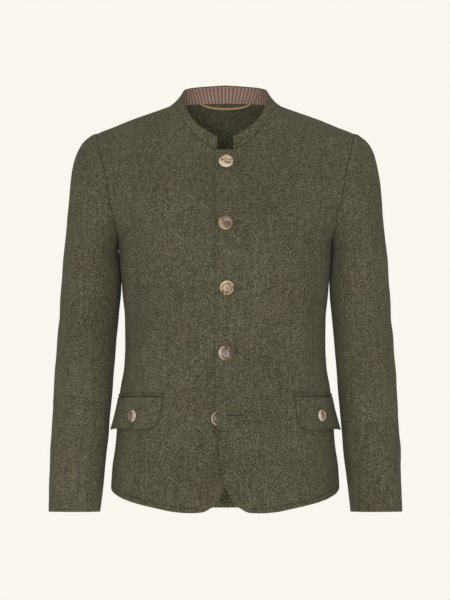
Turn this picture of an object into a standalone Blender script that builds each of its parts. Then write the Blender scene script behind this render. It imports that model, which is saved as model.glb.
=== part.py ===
# A wool jacket with a stand collar, as worn on a general figure that isn't there.
# Metres, +Z up. The wearer faces -Y, so the wearer's left is +X.
# The origin is the middle of the neck opening, level with the points where the
# shoulder seams meet the collar.

import math

import bpy
import numpy as np
from mathutils import Vector

for old in list(bpy.data.objects):
    bpy.data.objects.remove(old, do_unlink=True)

# Sizes that drive the whole jacket
WALL = 0.0025            # woollen cloth with its backing
LINING_WALL = 0.0012     # striped band inside the collar
SEAM = 0.00034           # gap left between two pieces at a seam
FRONT_EDGE = 0.0165      # how far each front reaches past the centre line
LAP = 0.0034             # how far the upper front lies out from the lower one
LOW_LAP = 0.0022         # more room round the lowest button, which is not buttoned
BUTTON_RADIUS = 0.01225
BUTTON_HEIGHT = 0.0042
FLAP_BUTTON_RADIUS = 0.0100
CORD_DIAMETER = 0.0046
NECK_SIDE = 0.0017       # height of the shoulder seam at the collar
NECK_BACK = 0.0130       # height of the collar seam at the centre back
SHOULDER = -0.0464       # height of the shoulder seam at the sleeve
UNDERARM = -0.2350       # height of the lowest point of the armhole
ARM_FRONT = 0.0665       # how far the armhole reaches forward
ARM_BACK = 0.0730        # how far the armhole reaches back

# Level sections of the body. half is half the width, front and back are the
# depths before and behind the side seams, square is the power of the curve.
BODY_COLUMNS = ("height", "half", "front", "back", "square")
BODY = (
    (0.0220, 0.0680, 0.0240, 0.0600, 2.00),
    (0.0017, 0.0946, 0.0380, 0.0740, 2.00),
    (-0.0050, 0.1122, 0.0420, 0.0785, 2.00),
    (-0.0086, 0.1222, 0.0440, 0.0810, 2.00),
    (-0.0224, 0.1612, 0.0500, 0.0890, 2.00),
    (-0.0360, 0.1942, 0.0570, 0.0965, 2.00),
    (-0.0464, 0.2196, 0.0620, 0.1020, 2.05),
    (-0.0635, 0.2340, 0.0710, 0.1090, 2.10),
    (-0.0840, 0.2475, 0.0810, 0.1150, 2.10),
    (-0.1190, 0.2505, 0.0990, 0.1215, 2.10),
    (-0.1530, 0.2407, 0.1125, 0.1260, 2.15),
    (-0.1800, 0.2219, 0.1210, 0.1280, 2.20),
    (-0.2050, 0.2053, 0.1265, 0.1285, 2.20),
    (-0.2350, 0.1845, 0.1305, 0.1280, 2.25),
    (-0.2600, 0.1825, 0.1325, 0.1265, 2.25),
    (-0.2900, 0.1793, 0.1335, 0.1235, 2.25),
    (-0.3250, 0.1763, 0.1335, 0.1180, 2.25),
    (-0.3630, 0.1725, 0.1315, 0.1115, 2.25),
    (-0.4100, 0.1720, 0.1290, 0.1070, 2.20),
    (-0.4455, 0.1737, 0.1285, 0.1090, 2.20),
    (-0.4870, 0.1806, 0.1305, 0.1165, 2.20),
    (-0.5300, 0.1848, 0.1340, 0.1240, 2.20),
    (-0.5800, 0.1885, 0.1385, 0.1300, 2.20),
    (-0.6210, 0.1943, 0.1415, 0.1340, 2.20),
    (-0.6520, 0.1960, 0.1430, 0.1360, 2.20),
    (-0.7200, 0.1980, 0.1450, 0.1380, 2.20),
)

# Seam of the collar on one front, from the centre line to the shoulder seam.
NECK_COLUMNS = ("across", "height")
NECK = (
    (0.0000, -0.0805),
    (0.0134, -0.0799),
    (0.0310, -0.0705),
    (0.0472, -0.0584),
    (0.0597, -0.0427),
    (0.0728, -0.0253),
    (0.0826, -0.0059),
    (0.0946, 0.0017),
)

# Front edge below the neck: how far the edge reaches past the centre line.
EDGE_COLUMNS = ("height", "past")
EDGE = (
    (-0.0805, 0.0165),
    (-0.3000, 0.0170),
    (-0.4800, 0.0165),
    (-0.5458, 0.0140),
    (-0.6000, 0.0080),
    (-0.6380, 0.0008),
    (-0.6560, -0.0080),
    (-0.6660, -0.0145),
    (-0.6735, -0.0220),
)

# Hem heights along a quarter of the body, from the centre to the side seam.
HEM_COLUMNS = ("part", "front", "back")
HEM = (
    (0.00, -0.6735, -0.7045),
    (0.08, -0.6735, -0.7043),
    (0.11, -0.6784, -0.7040),
    (0.145, -0.6820, -0.7033),
    (0.22, -0.6832, -0.7022),
    (0.30, -0.6821, -0.7002),
    (0.44, -0.6768, -0.6955),
    (0.59, -0.6710, -0.6880),
    (0.70, -0.6662, -0.6800),
    (0.80, -0.6612, -0.6700),
    (0.90, -0.6568, -0.6606),
    (1.00, -0.6534, -0.6539),
)

# Top edge of the collar, by the part of the way from the front end to the back.
COLLAR_COLUMNS = ("part", "across", "along", "height")
COLLAR = (
    (0.00, 0.0134, -0.0745, -0.0562),
    (0.14, 0.0330, -0.0690, -0.0455),
    (0.26, 0.0500, -0.0610, -0.0315),
    (0.38, 0.0625, -0.0490, -0.0150),
    (0.50, 0.0705, -0.0290, 0.0055),
    (0.60, 0.0738, -0.0030, 0.0215),
    (0.70, 0.0712, 0.0220, 0.0320),
    (0.80, 0.0600, 0.0420, 0.0374),
    (0.90, 0.0330, 0.0555, 0.0417),
    (1.00, 0.0000, 0.0590, 0.0442),
)

# Level sections of a sleeve below the armhole, from the upper arm to the cuff.
SLEEVE_COLUMNS = ("height", "across", "along", "half", "deep")
SLEEVE = (
    (-0.2600, 0.2311, 0.0000, 0.0474, 0.0720),
    (-0.2900, 0.2306, 0.0030, 0.0502, 0.0712),
    (-0.3100, 0.2312, 0.0042, 0.0515, 0.0703),
    (-0.3250, 0.2320, 0.0050, 0.0520, 0.0695),
    (-0.3630, 0.2348, 0.0060, 0.0508, 0.0675),
    (-0.3940, 0.2378, 0.0055, 0.0512, 0.0660),
    (-0.4250, 0.2400, 0.0040, 0.0508, 0.0645),
    (-0.4660, 0.2432, 0.0000, 0.0507, 0.0620),
    (-0.5070, 0.2456, -0.0050, 0.0503, 0.0592),
    (-0.5590, 0.2486, -0.0120, 0.0490, 0.0560),
    (-0.6000, 0.2511, -0.0180, 0.0478, 0.0535),
    (-0.6520, 0.2545, -0.0250, 0.0460, 0.0505),
    (-0.6928, 0.2574, -0.0300, 0.0440, 0.0485),
)
CAP_STEPS = (0.0, 0.07, 0.17, 0.30, 0.45, 0.62, 0.80)
SLEEVE_LEVELS = (-0.260, -0.285, -0.315, -0.345, -0.375, -0.405, -0.440,
                 -0.480, -0.520, -0.565, -0.610, -0.655, -0.6928)
CUFF_SLANT = 0.0059           # how much higher the cuff is in front than at its sides
FRONT_SLEEVE_SEAM = 128      # degrees from the outside of the arm, to the front
BACK_SLEEVE_SEAM = 146       # degrees from the outside of the arm, to the back

# Soft folds: a ridge or trough between two points of a panel, in metres.
# across runs from the centre line towards the side seam.
FOLD_COLUMNS = ("panel", "across_1", "height_1", "across_2", "height_2", "wide", "high")
FOLDS = (
    ("front_left", 0.055, -0.240, 0.060, -0.420, 0.026, 0.0022),
    ("front_left", 0.020, -0.318, 0.105, -0.262, 0.011, 0.0016),
    ("front_left", 0.022, -0.338, 0.120, -0.300, 0.012, -0.0015),
    ("front_left", 0.165, -0.225, 0.175, -0.360, 0.016, -0.0034),
    ("front_left", 0.130, -0.250, 0.140, -0.460, 0.022, 0.0026),
    ("front_left", 0.060, -0.560, 0.075, -0.665, 0.026, 0.0024),
    ("front_right", 0.055, -0.230, 0.050, -0.440, 0.028, 0.0026),
    ("front_right", 0.028, -0.322, 0.130, -0.300, 0.012, -0.0015),
    ("front_right", 0.030, -0.300, 0.110, -0.250, 0.012, 0.0014),
    ("front_right", 0.165, -0.225, 0.172, -0.350, 0.016, -0.0036),
    ("front_right", 0.128, -0.260, 0.145, -0.470, 0.022, 0.0022),
    ("front_right", 0.070, -0.550, 0.085, -0.665, 0.028, 0.0022),
    ("back_left", 0.150, -0.215, 0.130, -0.400, 0.018, -0.0034),
    ("back_left", 0.085, -0.300, 0.095, -0.520, 0.026, 0.0030),
    ("back_left", 0.020, -0.360, 0.140, -0.330, 0.013, -0.0016),
    ("back_left", 0.090, -0.560, 0.110, -0.690, 0.030, 0.0030),
    ("back_right", 0.148, -0.220, 0.135, -0.390, 0.018, -0.0032),
    ("back_right", 0.090, -0.310, 0.085, -0.500, 0.028, 0.0028),
    ("back_right", 0.025, -0.345, 0.140, -0.365, 0.013, -0.0016),
    ("back_right", 0.100, -0.550, 0.095, -0.690, 0.030, 0.0030),
)

# Soft folds of the sleeves: turn is degrees from the outside of the arm, front
# is positive. The fold runs round the arm by half its span and falls by drop.
ARM_FOLD_COLUMNS = ("sleeve", "turn", "height", "span", "drop", "wide", "high")
ARM_FOLDS = (
    ("sleeve_left", 70.0, -0.245, 60.0, 0.060, 0.013, -0.0030),
    ("sleeve_left", 95.0, -0.405, 70.0, 0.030, 0.014, -0.0030),
    ("sleeve_left", 80.0, -0.450, 60.0, -0.020, 0.013, -0.0024),
    ("sleeve_left", -80.0, -0.430, 70.0, 0.025, 0.018, 0.0030),
    ("sleeve_left", -60.0, -0.250, 55.0, 0.050, 0.015, -0.0028),
    ("sleeve_left", 30.0, -0.600, 60.0, 0.030, 0.020, 0.0018),
    ("sleeve_right", 72.0, -0.240, 58.0, 0.060, 0.013, -0.0030),
    ("sleeve_right", 92.0, -0.395, 66.0, 0.026, 0.014, -0.0028),
    ("sleeve_right", 84.0, -0.460, 60.0, -0.024, 0.013, -0.0026),
    ("sleeve_right", -76.0, -0.420, 66.0, 0.022, 0.018, 0.0030),
    ("sleeve_right", -64.0, -0.245, 55.0, 0.045, 0.015, -0.0026),
    ("sleeve_right", 36.0, -0.580, 56.0, -0.020, 0.020, 0.0018),
)

# Buttons on the fronts: the panel each one lies on, and where.
BUTTON_COLUMNS = ("node", "panel", "across", "height")
BUTTONS = (
    ("button_1", "front_left", 0.0012, -0.1026),
    ("button_2", "front_left", 0.0008, -0.2052),
    ("button_3", "front_left", 0.0030, -0.3120),
    ("button_4", "front_left", 0.0005, -0.4190),
    ("button_5", "front_right", 0.0116, -0.5275),
)

# Hip pockets, the same on both fronts
POCKET_COLUMNS = ("side", "across", "length", "bottom", "button_part")
POCKETS = (
    ("left", 0.1145, 0.1300, -0.5490, 0.408),
    ("right", 0.1030, 0.1312, -0.5475, 0.43),
)
POCKET_DROP = 0.0060         # how much lower the pocket's outer end lies
WELT_TOP = -0.4870
WELT_BOTTOM = -0.4921
WELT_WALL = 0.0015
FLAP_TOP = -0.4930
FLAP_WALL = 0.0022
FLAP_BUTTON_HEIGHT = -0.5255

# Hanger loop inside the back neck: across, depth in from the cloth, height
LOOP_COLUMNS = ("across", "inset", "height")
LOOP = (
    (-0.0468, 0.0048, 0.0150),
    (-0.0400, 0.0044, 0.0116),
    (-0.0300, 0.0040, 0.0090),
    (-0.0180, 0.0036, 0.0073),
    (0.0000, 0.0034, 0.0064),
    (0.0180, 0.0036, 0.0069),
    (0.0300, 0.0040, 0.0085),
    (0.0400, 0.0044, 0.0110),
    (0.0463, 0.0048, 0.0138),
)


def column(table, names, name):
    """One named column of a table, as an array."""
    at = names.index(name)
    return np.array([row[at] for row in table], dtype=float)


def smooth_line(xs, ys):
    """A curve through the points that never overshoots them."""
    xs = np.asarray(xs, dtype=float)
    ys = np.asarray(ys, dtype=float)
    order = np.argsort(xs)
    xs = xs[order]
    ys = ys[order]
    step = np.diff(xs)
    slope = np.diff(ys) / step
    tangent = np.zeros(len(xs))
    tangent[0] = slope[0]
    tangent[-1] = slope[-1]
    for i in range(1, len(xs) - 1):
        if slope[i - 1] * slope[i] > 0:
            w1 = 2 * step[i] + step[i - 1]
            w2 = step[i] + 2 * step[i - 1]
            tangent[i] = (w1 + w2) / (w1 / slope[i - 1] + w2 / slope[i])

    def value(x):
        x = min(max(float(x), xs[0]), xs[-1])
        i = int(np.searchsorted(xs, x, side="right")) - 1
        i = min(max(i, 0), len(step) - 1)
        t = (x - xs[i]) / step[i]
        a = (1 + 2 * t) * (1 - t) ** 2
        b = t * (1 - t) ** 2
        c = t * t * (3 - 2 * t)
        d = t * t * (t - 1)
        return a * ys[i] + b * step[i] * tangent[i] + c * ys[i + 1] + d * step[i] * tangent[i + 1]

    return value


def ease(x):
    """0 below 0, 1 above 1, and a soft step between."""
    x = min(max(x, 0.0), 1.0)
    return x * x * (3 - 2 * x)


def unit(v):
    return v / max(np.linalg.norm(v), 1e-12)


body_height = column(BODY, BODY_COLUMNS, "height")
body_half = smooth_line(body_height, column(BODY, BODY_COLUMNS, "half"))
body_front = smooth_line(body_height, column(BODY, BODY_COLUMNS, "front"))
body_back = smooth_line(body_height, column(BODY, BODY_COLUMNS, "back"))
body_square = smooth_line(body_height, column(BODY, BODY_COLUMNS, "square"))

QUARTER_STEPS = 180
quarter_cache = {}


def quarter(z, face):
    """Points along a quarter section and their distance from the centre."""
    key = (round(z, 6), face)
    if key in quarter_cache:
        return quarter_cache[key]
    half = body_half(z)
    deep = body_front(z) if face == "front" else body_back(z)
    power = 2.0 / body_square(z)
    angle = np.linspace(0.0, math.pi / 2, QUARTER_STEPS + 1)
    x = half * np.abs(np.sin(angle)) ** power
    y = deep * np.abs(np.cos(angle)) ** power
    run = np.concatenate(([0.0], np.cumsum(np.hypot(np.diff(x), np.diff(y)))))
    quarter_cache[key] = (x, y, run)
    return quarter_cache[key]


def quarter_length(z, face):
    return quarter(z, face)[2][-1]


def body_point(s, z, face):
    """A point of the body, s metres along the section from the centre line."""
    x, y, run = quarter(z, face)
    length = run[-1]
    sign = 1.0
    if s < 0:
        s = -s
        sign = -1.0
    if s > length:
        other = "back" if face == "front" else "front"
        x2, y2, run2 = quarter(z, other)
        rest = run2[-1] - (s - length)
        px = np.interp(rest, run2, x2)
        py = np.interp(rest, run2, y2)
        face = other
    else:
        px = np.interp(s, run, x)
        py = np.interp(s, run, y)
    if face == "front":
        py = -py
    return np.array([sign * px, py, z])


def body_normal(s, z, face):
    """Outward direction of the body at a point."""
    ds = 0.0015
    dz = 0.0012
    part = s / quarter_length(z, face)
    along = body_point(s + ds, z, face) - body_point(s - ds, z, face)
    up_s = part * quarter_length(z + dz, face)
    down_s = part * quarter_length(z - dz, face)
    upward = body_point(up_s, z + dz, face) - body_point(down_s, z - dz, face)
    normal = unit(np.cross(along, upward))
    if face == "back":
        normal = -normal
    return normal


def s_from_x(x, z, face):
    """Distance along the section of the point with this distance across."""
    px, py, run = quarter(z, face)
    return math.copysign(np.interp(abs(x), px, run), x)


def s_from_y(y, z, face):
    """Distance along the section of the point with this depth."""
    px, py, run = quarter(z, face)
    return float(np.interp(-abs(y), -py, run))


def armhole(turn, face):
    """The armhole, by the angle down from the shoulder: distance along, height."""
    angle = math.radians(turn)
    z = (SHOULDER + UNDERARM) / 2 + (SHOULDER - UNDERARM) / 2 * math.cos(angle)
    reach = ARM_FRONT if face == "front" else ARM_BACK
    y = reach * math.sin(angle) * (1 - 0.3 * math.cos(angle))
    if turn <= 0 or turn >= 180:
        return quarter_length(z, face), z
    return s_from_y(y, z, face), z


def by_length(points, count):
    """Points spread evenly along a line of points, in the chart."""
    points = np.asarray(points, dtype=float)
    run = np.concatenate(([0.0], np.cumsum(np.linalg.norm(np.diff(points, axis=0), axis=1))))
    want = np.linspace(0.0, run[-1], count)
    return np.column_stack([np.interp(want, run, points[:, k]) for k in range(points.shape[1])])


ARM_TURNS = (0, 8, 19, 33, 50, 69, 89, 109, 128, 146, 163, 180)
SIDE_ROWS = 12
ARMHOLE_PULL = 2.4        # keeps the armhole's bend away from the neck
FRONT_NECK_STEPS = 8
FRONT_SHOULDER_STEPS = 8
BACK_NECK_STEPS = 5
BACK_SHOULDER_STEPS = 7

neck_line = smooth_line(np.linspace(0, 1, len(NECK)), column(NECK, NECK_COLUMNS, "across"))
neck_rise = smooth_line(np.linspace(0, 1, len(NECK)), column(NECK, NECK_COLUMNS, "height"))
edge_past = smooth_line(column(EDGE, EDGE_COLUMNS, "height"), column(EDGE, EDGE_COLUMNS, "past"))
hem_part = column(HEM, HEM_COLUMNS, "part")
hem_front = smooth_line(hem_part, column(HEM, HEM_COLUMNS, "front"))
hem_back = smooth_line(hem_part, column(HEM, HEM_COLUMNS, "back"))


def neck_chart(face, count):
    """The collar seam on one side, as chart points from the centre outward. On
    a front, its first point is the corner past the centre line."""
    points = []
    if face == "front":
        for t in np.linspace(0, 1, 90):
            x = neck_line(t)
            z = neck_rise(t)
            if x < COLLAR[0][1]:
                continue
            if t >= 1:
                points.append((quarter_length(z, "front"), z))
            else:
                points.append((s_from_x(x, z, "front"), z))
        return np.vstack([[(-FRONT_EDGE, NECK[0][1])], by_length(points, count)])
    for t in np.linspace(0, 1, 60):
        z = NECK_BACK + (NECK_SIDE - NECK_BACK) * t ** 1.75
        points.append((t * quarter_length(z, "back"), z))
    return by_length(points, count)


def shoulder_chart(face, count):
    """The shoulder seam, as chart points from the neck to the sleeve."""
    points = []
    for z in np.linspace(NECK_SIDE, SHOULDER, 40):
        points.append((quarter_length(z, face), z))
    return by_length(points, count)


def hem_chart(face, count):
    """The hem of one panel, from the centre to the side seam."""
    curve = hem_front if face == "front" else hem_back
    points = []
    start = 0.0
    if face == "front":
        start = -EDGE[-1][1] / quarter_length(EDGE[-1][0], face)
    for part in np.linspace(start, 1, 80):
        z = curve(part)
        points.append((part * quarter_length(z, face), z))
    return by_length(points, count)


def panel_chart(face):
    """A grid of chart points between the panel's four edges."""
    if face == "front":
        top = np.vstack([neck_chart(face, FRONT_NECK_STEPS + 1),
                         shoulder_chart(face, FRONT_SHOULDER_STEPS + 1)[1:]])
    else:
        top = np.vstack([neck_chart(face, BACK_NECK_STEPS + 1),
                         shoulder_chart(face, BACK_SHOULDER_STEPS + 1)[1:]])
    bottom = hem_chart(face, len(top))
    right = [armhole(turn, face) for turn in ARM_TURNS]
    side_low = bottom[-1][1]
    for z in np.linspace(UNDERARM, side_low, SIDE_ROWS + 1)[1:]:
        right.append((quarter_length(z, face), z))
    right = np.array(right)
    run = np.concatenate(([0.0], np.cumsum(np.linalg.norm(np.diff(right, axis=0), axis=1))))
    rows = run / run[-1]
    left = []
    for v in rows:
        z = top[0][1] + v * (bottom[0][1] - top[0][1])
        left.append((-edge_past(z) if face == "front" else 0.0, z))
    left = np.array(left)
    left[0] = top[0]
    left[-1] = bottom[0]
    cols = np.linspace(0, 1, len(top))
    grid = np.zeros((len(rows), len(cols), 2))
    for j, v in enumerate(rows):
        for i, c in enumerate(cols):
            w = c ** ARMHOLE_PULL
            mix = (1 - v) * top[i] + v * bottom[i] + (1 - w) * left[j] + w * right[j]
            mix -= (1 - w) * (1 - v) * top[0] + w * (1 - v) * top[-1]
            mix -= (1 - w) * v * bottom[0] + w * v * bottom[-1]
            grid[j, i] = mix
    grid[0] = top
    grid[-1] = bottom
    return grid


def fold_height(panel, s, z):
    """How far the panel's folds lift or sink it at a chart point."""
    total = 0.0
    for name, s1, z1, s2, z2, wide, high in FOLDS:
        if name != panel:
            continue
        a = np.array([s1, z1])
        run = np.array([s2, z2]) - a
        length = np.linalg.norm(run)
        here = np.array([s, z]) - a
        t = float(np.dot(here, run)) / (length * length)
        off = abs(run[0] * here[1] - run[1] * here[0]) / length
        past = max(-t, t - 1, 0.0) * length
        total += high * math.exp(-(off / wide) ** 2) * math.exp(-(past / (1.6 * wide)) ** 2)
    return total


def lap_height(panel, x, z):
    """Room between the two fronts where the left one lies over the right one."""
    near = 1 - ease((x - 0.020) / 0.034)
    low = ease((-0.430 - z) / 0.070) * (1 - ease((x - 0.030) / 0.080))
    if panel == "front_left":
        return LAP * near + LOW_LAP * low
    if panel == "front_right":
        return -LOW_LAP * low
    return 0.0


def cloth_point(panel, s, z):
    """Outer point and outward direction of a body panel, on the +X side."""
    face = panel.split("_")[0]
    point = body_point(s, z, face)
    normal = body_normal(s, z, face)
    length = quarter_length(z, face)
    side = ease((length - s) / 0.030)
    lift = fold_height(panel, s, z) * side * ease((0.010 - z) / 0.080)
    lift += lap_height(panel, point[0], z)
    return point + normal * lift, normal


def cloth_grid(panel):
    face = panel.split("_")[0]
    chart = panel_chart(face)
    rows, cols = chart.shape[:2]
    outer = np.zeros((rows, cols, 3))
    normals = np.zeros((rows, cols, 3))
    for j in range(rows):
        for i in range(cols):
            outer[j, i], normals[j, i] = cloth_point(panel, chart[j, i, 0], chart[j, i, 1])
    return outer, normals


def draw_in(grid, gap, edges):
    """Move the named edges of a grid in along the cloth by the gap."""
    moved = grid.copy()
    if "top" in edges:
        for i in range(grid.shape[1]):
            moved[0, i] = moved[0, i] + unit(grid[1, i] - grid[0, i]) * gap
    if "bottom" in edges:
        for i in range(grid.shape[1]):
            moved[-1, i] = moved[-1, i] + unit(grid[-2, i] - grid[-1, i]) * gap
    if "first" in edges:
        for j in range(grid.shape[0]):
            moved[j, 0] = moved[j, 0] + unit(grid[j, 1] - grid[j, 0]) * gap
    if "last" in edges:
        for j in range(grid.shape[0]):
            moved[j, -1] = moved[j, -1] + unit(grid[j, -2] - grid[j, -1]) * gap
    return moved


def make_material(name, colour, roughness, metallic=0.0):
    mat = bpy.data.materials.new(name)
    mat.use_nodes = True
    shader = mat.node_tree.nodes["Principled BSDF"]
    shader.inputs["Base Color"].default_value = (*colour, 1.0)
    shader.inputs["Roughness"].default_value = roughness
    shader.inputs["Metallic"].default_value = metallic
    mat.diffuse_color = (*colour, 1.0)
    return mat


WOOL = make_material("olive_wool", (0.096, 0.088, 0.055), 0.95)
STRIPE = make_material("striped_band", (0.235, 0.140, 0.112), 0.85)
HORN = make_material("horn", (0.420, 0.290, 0.160), 0.40)
BRAID = make_material("braided_cord", (0.420, 0.330, 0.230), 0.85)


def mesh_object(name, points, faces, material):
    mesh = bpy.data.meshes.new(name)
    mesh.from_pydata([tuple(p) for p in points], [], faces)
    mesh.validate()
    mesh.update()
    mesh.materials.append(material)
    mesh.shade_smooth()
    mesh.set_sharp_from_angle(angle=math.radians(50))
    obj = bpy.data.objects.new(name, mesh)
    bpy.context.scene.collection.objects.link(obj)
    return obj


def shell(name, outer, inner, material, mirrored=False):
    """A closed wall between two grids. outer faces out with rows down, columns
    to +X as seen from outside the front."""
    rows, cols = outer.shape[:2]
    points = list(outer.reshape(-1, 3)) + list(inner.reshape(-1, 3))
    half = rows * cols
    faces = []

    def at(j, i, layer):
        return layer * half + j * cols + i

    for j in range(rows - 1):
        for i in range(cols - 1):
            a, b = at(j, i, 0), at(j, i + 1, 0)
            c, d = at(j + 1, i + 1, 0), at(j + 1, i, 0)
            faces.append((a, d, c, b))
            faces.append((a + half, b + half, c + half, d + half))
    for i in range(cols - 1):
        faces.append((at(0, i, 0), at(0, i + 1, 0), at(0, i + 1, 1), at(0, i, 1)))
        faces.append((at(rows - 1, i + 1, 0), at(rows - 1, i, 0),
                      at(rows - 1, i, 1), at(rows - 1, i + 1, 1)))
    for j in range(rows - 1):
        faces.append((at(j + 1, 0, 0), at(j, 0, 0), at(j, 0, 1), at(j + 1, 0, 1)))
        faces.append((at(j, cols - 1, 0), at(j + 1, cols - 1, 0),
                      at(j + 1, cols - 1, 1), at(j, cols - 1, 1)))
    if mirrored:
        points = [(-p[0], p[1], p[2]) for p in points]
        faces = [tuple(reversed(f)) for f in faces]
    return mesh_object(name, points, faces, material)


# Fronts and backs
cloth = {}
for panel in ("front_left", "front_right", "back_left", "back_right"):
    outer, normals = cloth_grid(panel)
    cloth[panel] = (outer, normals)
    if panel.startswith("front"):
        pulled = draw_in(outer, SEAM / 2, ("top", "last"))
    else:
        pulled = draw_in(outer, SEAM / 2, ("top", "first", "last"))
    inner = pulled - normals * WALL
    if panel == "front_left":
        shell(panel, pulled, inner, WOOL)
    elif panel == "front_right":
        shell(panel, pulled, inner, WOOL, mirrored=True)
    elif panel == "back_left":
        shell(panel, inner, pulled, WOOL, mirrored=False)
    else:
        shell(panel, inner, pulled, WOOL, mirrored=True)

# Sleeves
sleeve_height = column(SLEEVE, SLEEVE_COLUMNS, "height")
sleeve_across = smooth_line(sleeve_height, column(SLEEVE, SLEEVE_COLUMNS, "across"))
sleeve_along = smooth_line(sleeve_height, column(SLEEVE, SLEEVE_COLUMNS, "along"))
sleeve_half = smooth_line(sleeve_height, column(SLEEVE, SLEEVE_COLUMNS, "half"))
sleeve_deep = smooth_line(sleeve_height, column(SLEEVE, SLEEVE_COLUMNS, "deep"))


def arm_section(turn, z):
    """A point of the sleeve's level section. turn 0 is outside, 90 is front."""
    angle = math.radians(turn)
    x = sleeve_across(z) + sleeve_half(z) * math.cos(angle)
    y = sleeve_along(z) - sleeve_deep(z) * math.sin(angle)
    return np.array([x, y, z])


def arm_start(turn):
    """Where the sleeve meets the armhole, a little proud of the body."""
    face = "front" if turn >= 0 else "back"
    s, z = armhole(abs(turn), face)
    near = armhole(abs(turn) + 2.0, face) if abs(turn) < 178 else armhole(abs(turn) - 2.0, face)
    here = body_point(s, z, face)
    normal = body_normal(s, z, face)
    tangent = unit(body_point(near[0], near[1], face) - here)
    away = unit(np.cross(normal, tangent))
    centre = np.array([0.0, 0.0, -0.40])
    middle = np.array([0.30, 0.0, -0.13])
    if np.dot(away, middle - centre) < 0:
        away = -away
    if abs(turn) >= 178 or abs(turn) <= 2:
        away = np.array([0.0, 0.0, 1.0]) if abs(turn) >= 178 else unit(np.array([0.9, 0.0, -0.42]))
    return here + away * 0.00045 + normal * 0.00040


def sleeve_point(turn, step):
    """A point of the sleeve's outer side. step is 0 to 1 on the cap, then the
    height of a level below it as a negative number."""
    if step < 0:
        low = ease((-0.56 - step) / 0.13)
        return arm_section(turn, step + CUFF_SLANT * math.sin(math.radians(turn)) * low)
    start = arm_start(turn)
    end = arm_section(turn, SLEEVE_LEVELS[0])
    span = np.linalg.norm(end - start)
    angle = math.radians(turn)
    up = (1 + math.cos(angle)) / 2
    leave = unit(np.array([0.25 + 0.65 * up, -0.18 * math.sin(angle), -0.97 + 0.72 * up]))
    arrive = unit(np.array([-0.01 + 0.09 * math.cos(angle) + 0.06 * up ** 3, 0.0, -1.0]))
    p1 = start + leave * span * (0.226 + 0.037 * up)
    p2 = end - arrive * span * (0.40 + 0.14 * up)
    t = step
    return ((1 - t) ** 3 * start + 3 * (1 - t) ** 2 * t * p1
            + 3 * (1 - t) * t * t * p2 + t ** 3 * end)


def arm_fold_height(sleeve, turn, point):
    total = 0.0
    for name, at, height, span, drop, wide, high in ARM_FOLDS:
        if name != sleeve:
            continue
        part = (turn - at) / span
        line = height - drop * part
        off = abs(point[2] - line) / wide
        total += high * math.exp(-off * off) * math.exp(-(1.3 * part) ** 2)
    return total


def sleeve_grid(sleeve, turns):
    steps = list(CAP_STEPS) + list(SLEEVE_LEVELS)
    rows, cols = len(steps), len(turns)
    outer = np.zeros((rows, cols, 3))
    normals = np.zeros((rows, cols, 3))
    for j, step in enumerate(steps):
        for i, turn in enumerate(turns):
            outer[j, i] = sleeve_point(turn, step)
            side = sleeve_point(turn + 2.0, step) - sleeve_point(turn - 2.0, step)
            if step < 0:
                low = max(step - 0.004, SLEEVE_LEVELS[-1])
                high = min(step + 0.004, SLEEVE_LEVELS[0])
                fall = sleeve_point(turn, low) - sleeve_point(turn, high)
            else:
                fall = sleeve_point(turn, step + 0.02) - sleeve_point(turn, max(step - 0.02, 0.0))
            normals[j, i] = unit(np.cross(side, fall))
    for j in range(rows):
        reach = ease((j - 1) / 2.5)
        for i, turn in enumerate(turns):
            lift = arm_fold_height(sleeve, turn, outer[j, i]) * reach
            outer[j, i] = outer[j, i] + normals[j, i] * lift
    return outer, normals


# The sleeve's columns start at the armhole's own points, so that the seam fits.
TOP_TURNS = ([t for t in reversed(ARM_TURNS) if t <= FRONT_SLEEVE_SEAM]
             + [-t for t in ARM_TURNS if 0 < t <= BACK_SLEEVE_SEAM])
UNDER_TURNS = ([-t for t in ARM_TURNS if BACK_SLEEVE_SEAM <= t < 180]
               + [t for t in reversed(ARM_TURNS) if t >= FRONT_SLEEVE_SEAM])


for sleeve in ("sleeve_left", "sleeve_right"):
    for half, turns in (("top", TOP_TURNS), ("under", UNDER_TURNS)):
        outer, normals = sleeve_grid(sleeve, turns)
        pulled = draw_in(outer, SEAM / 2, ("first", "last"))
        inner = pulled - normals * WALL
        shell(sleeve + "_" + half, pulled, inner, WOOL, mirrored=(sleeve == "sleeve_right"))

# Collar: from the wearer's left front end round the back to the right end
COLLAR_HALF_STEPS = FRONT_NECK_STEPS + BACK_NECK_STEPS
COLLAR_ROWS = 4
COLLAR_LIFT = 0.00045
COLLAR_BULGE = 0.0010


def neck_seam(side):
    """The collar seam of one side as points, from the front end to the back."""
    front = cloth["front_" + side][0][0, 1:FRONT_NECK_STEPS + 2]
    back = cloth["back_" + side][0][0, :BACK_NECK_STEPS + 1]
    return list(front) + list(back[-2::-1])


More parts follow.
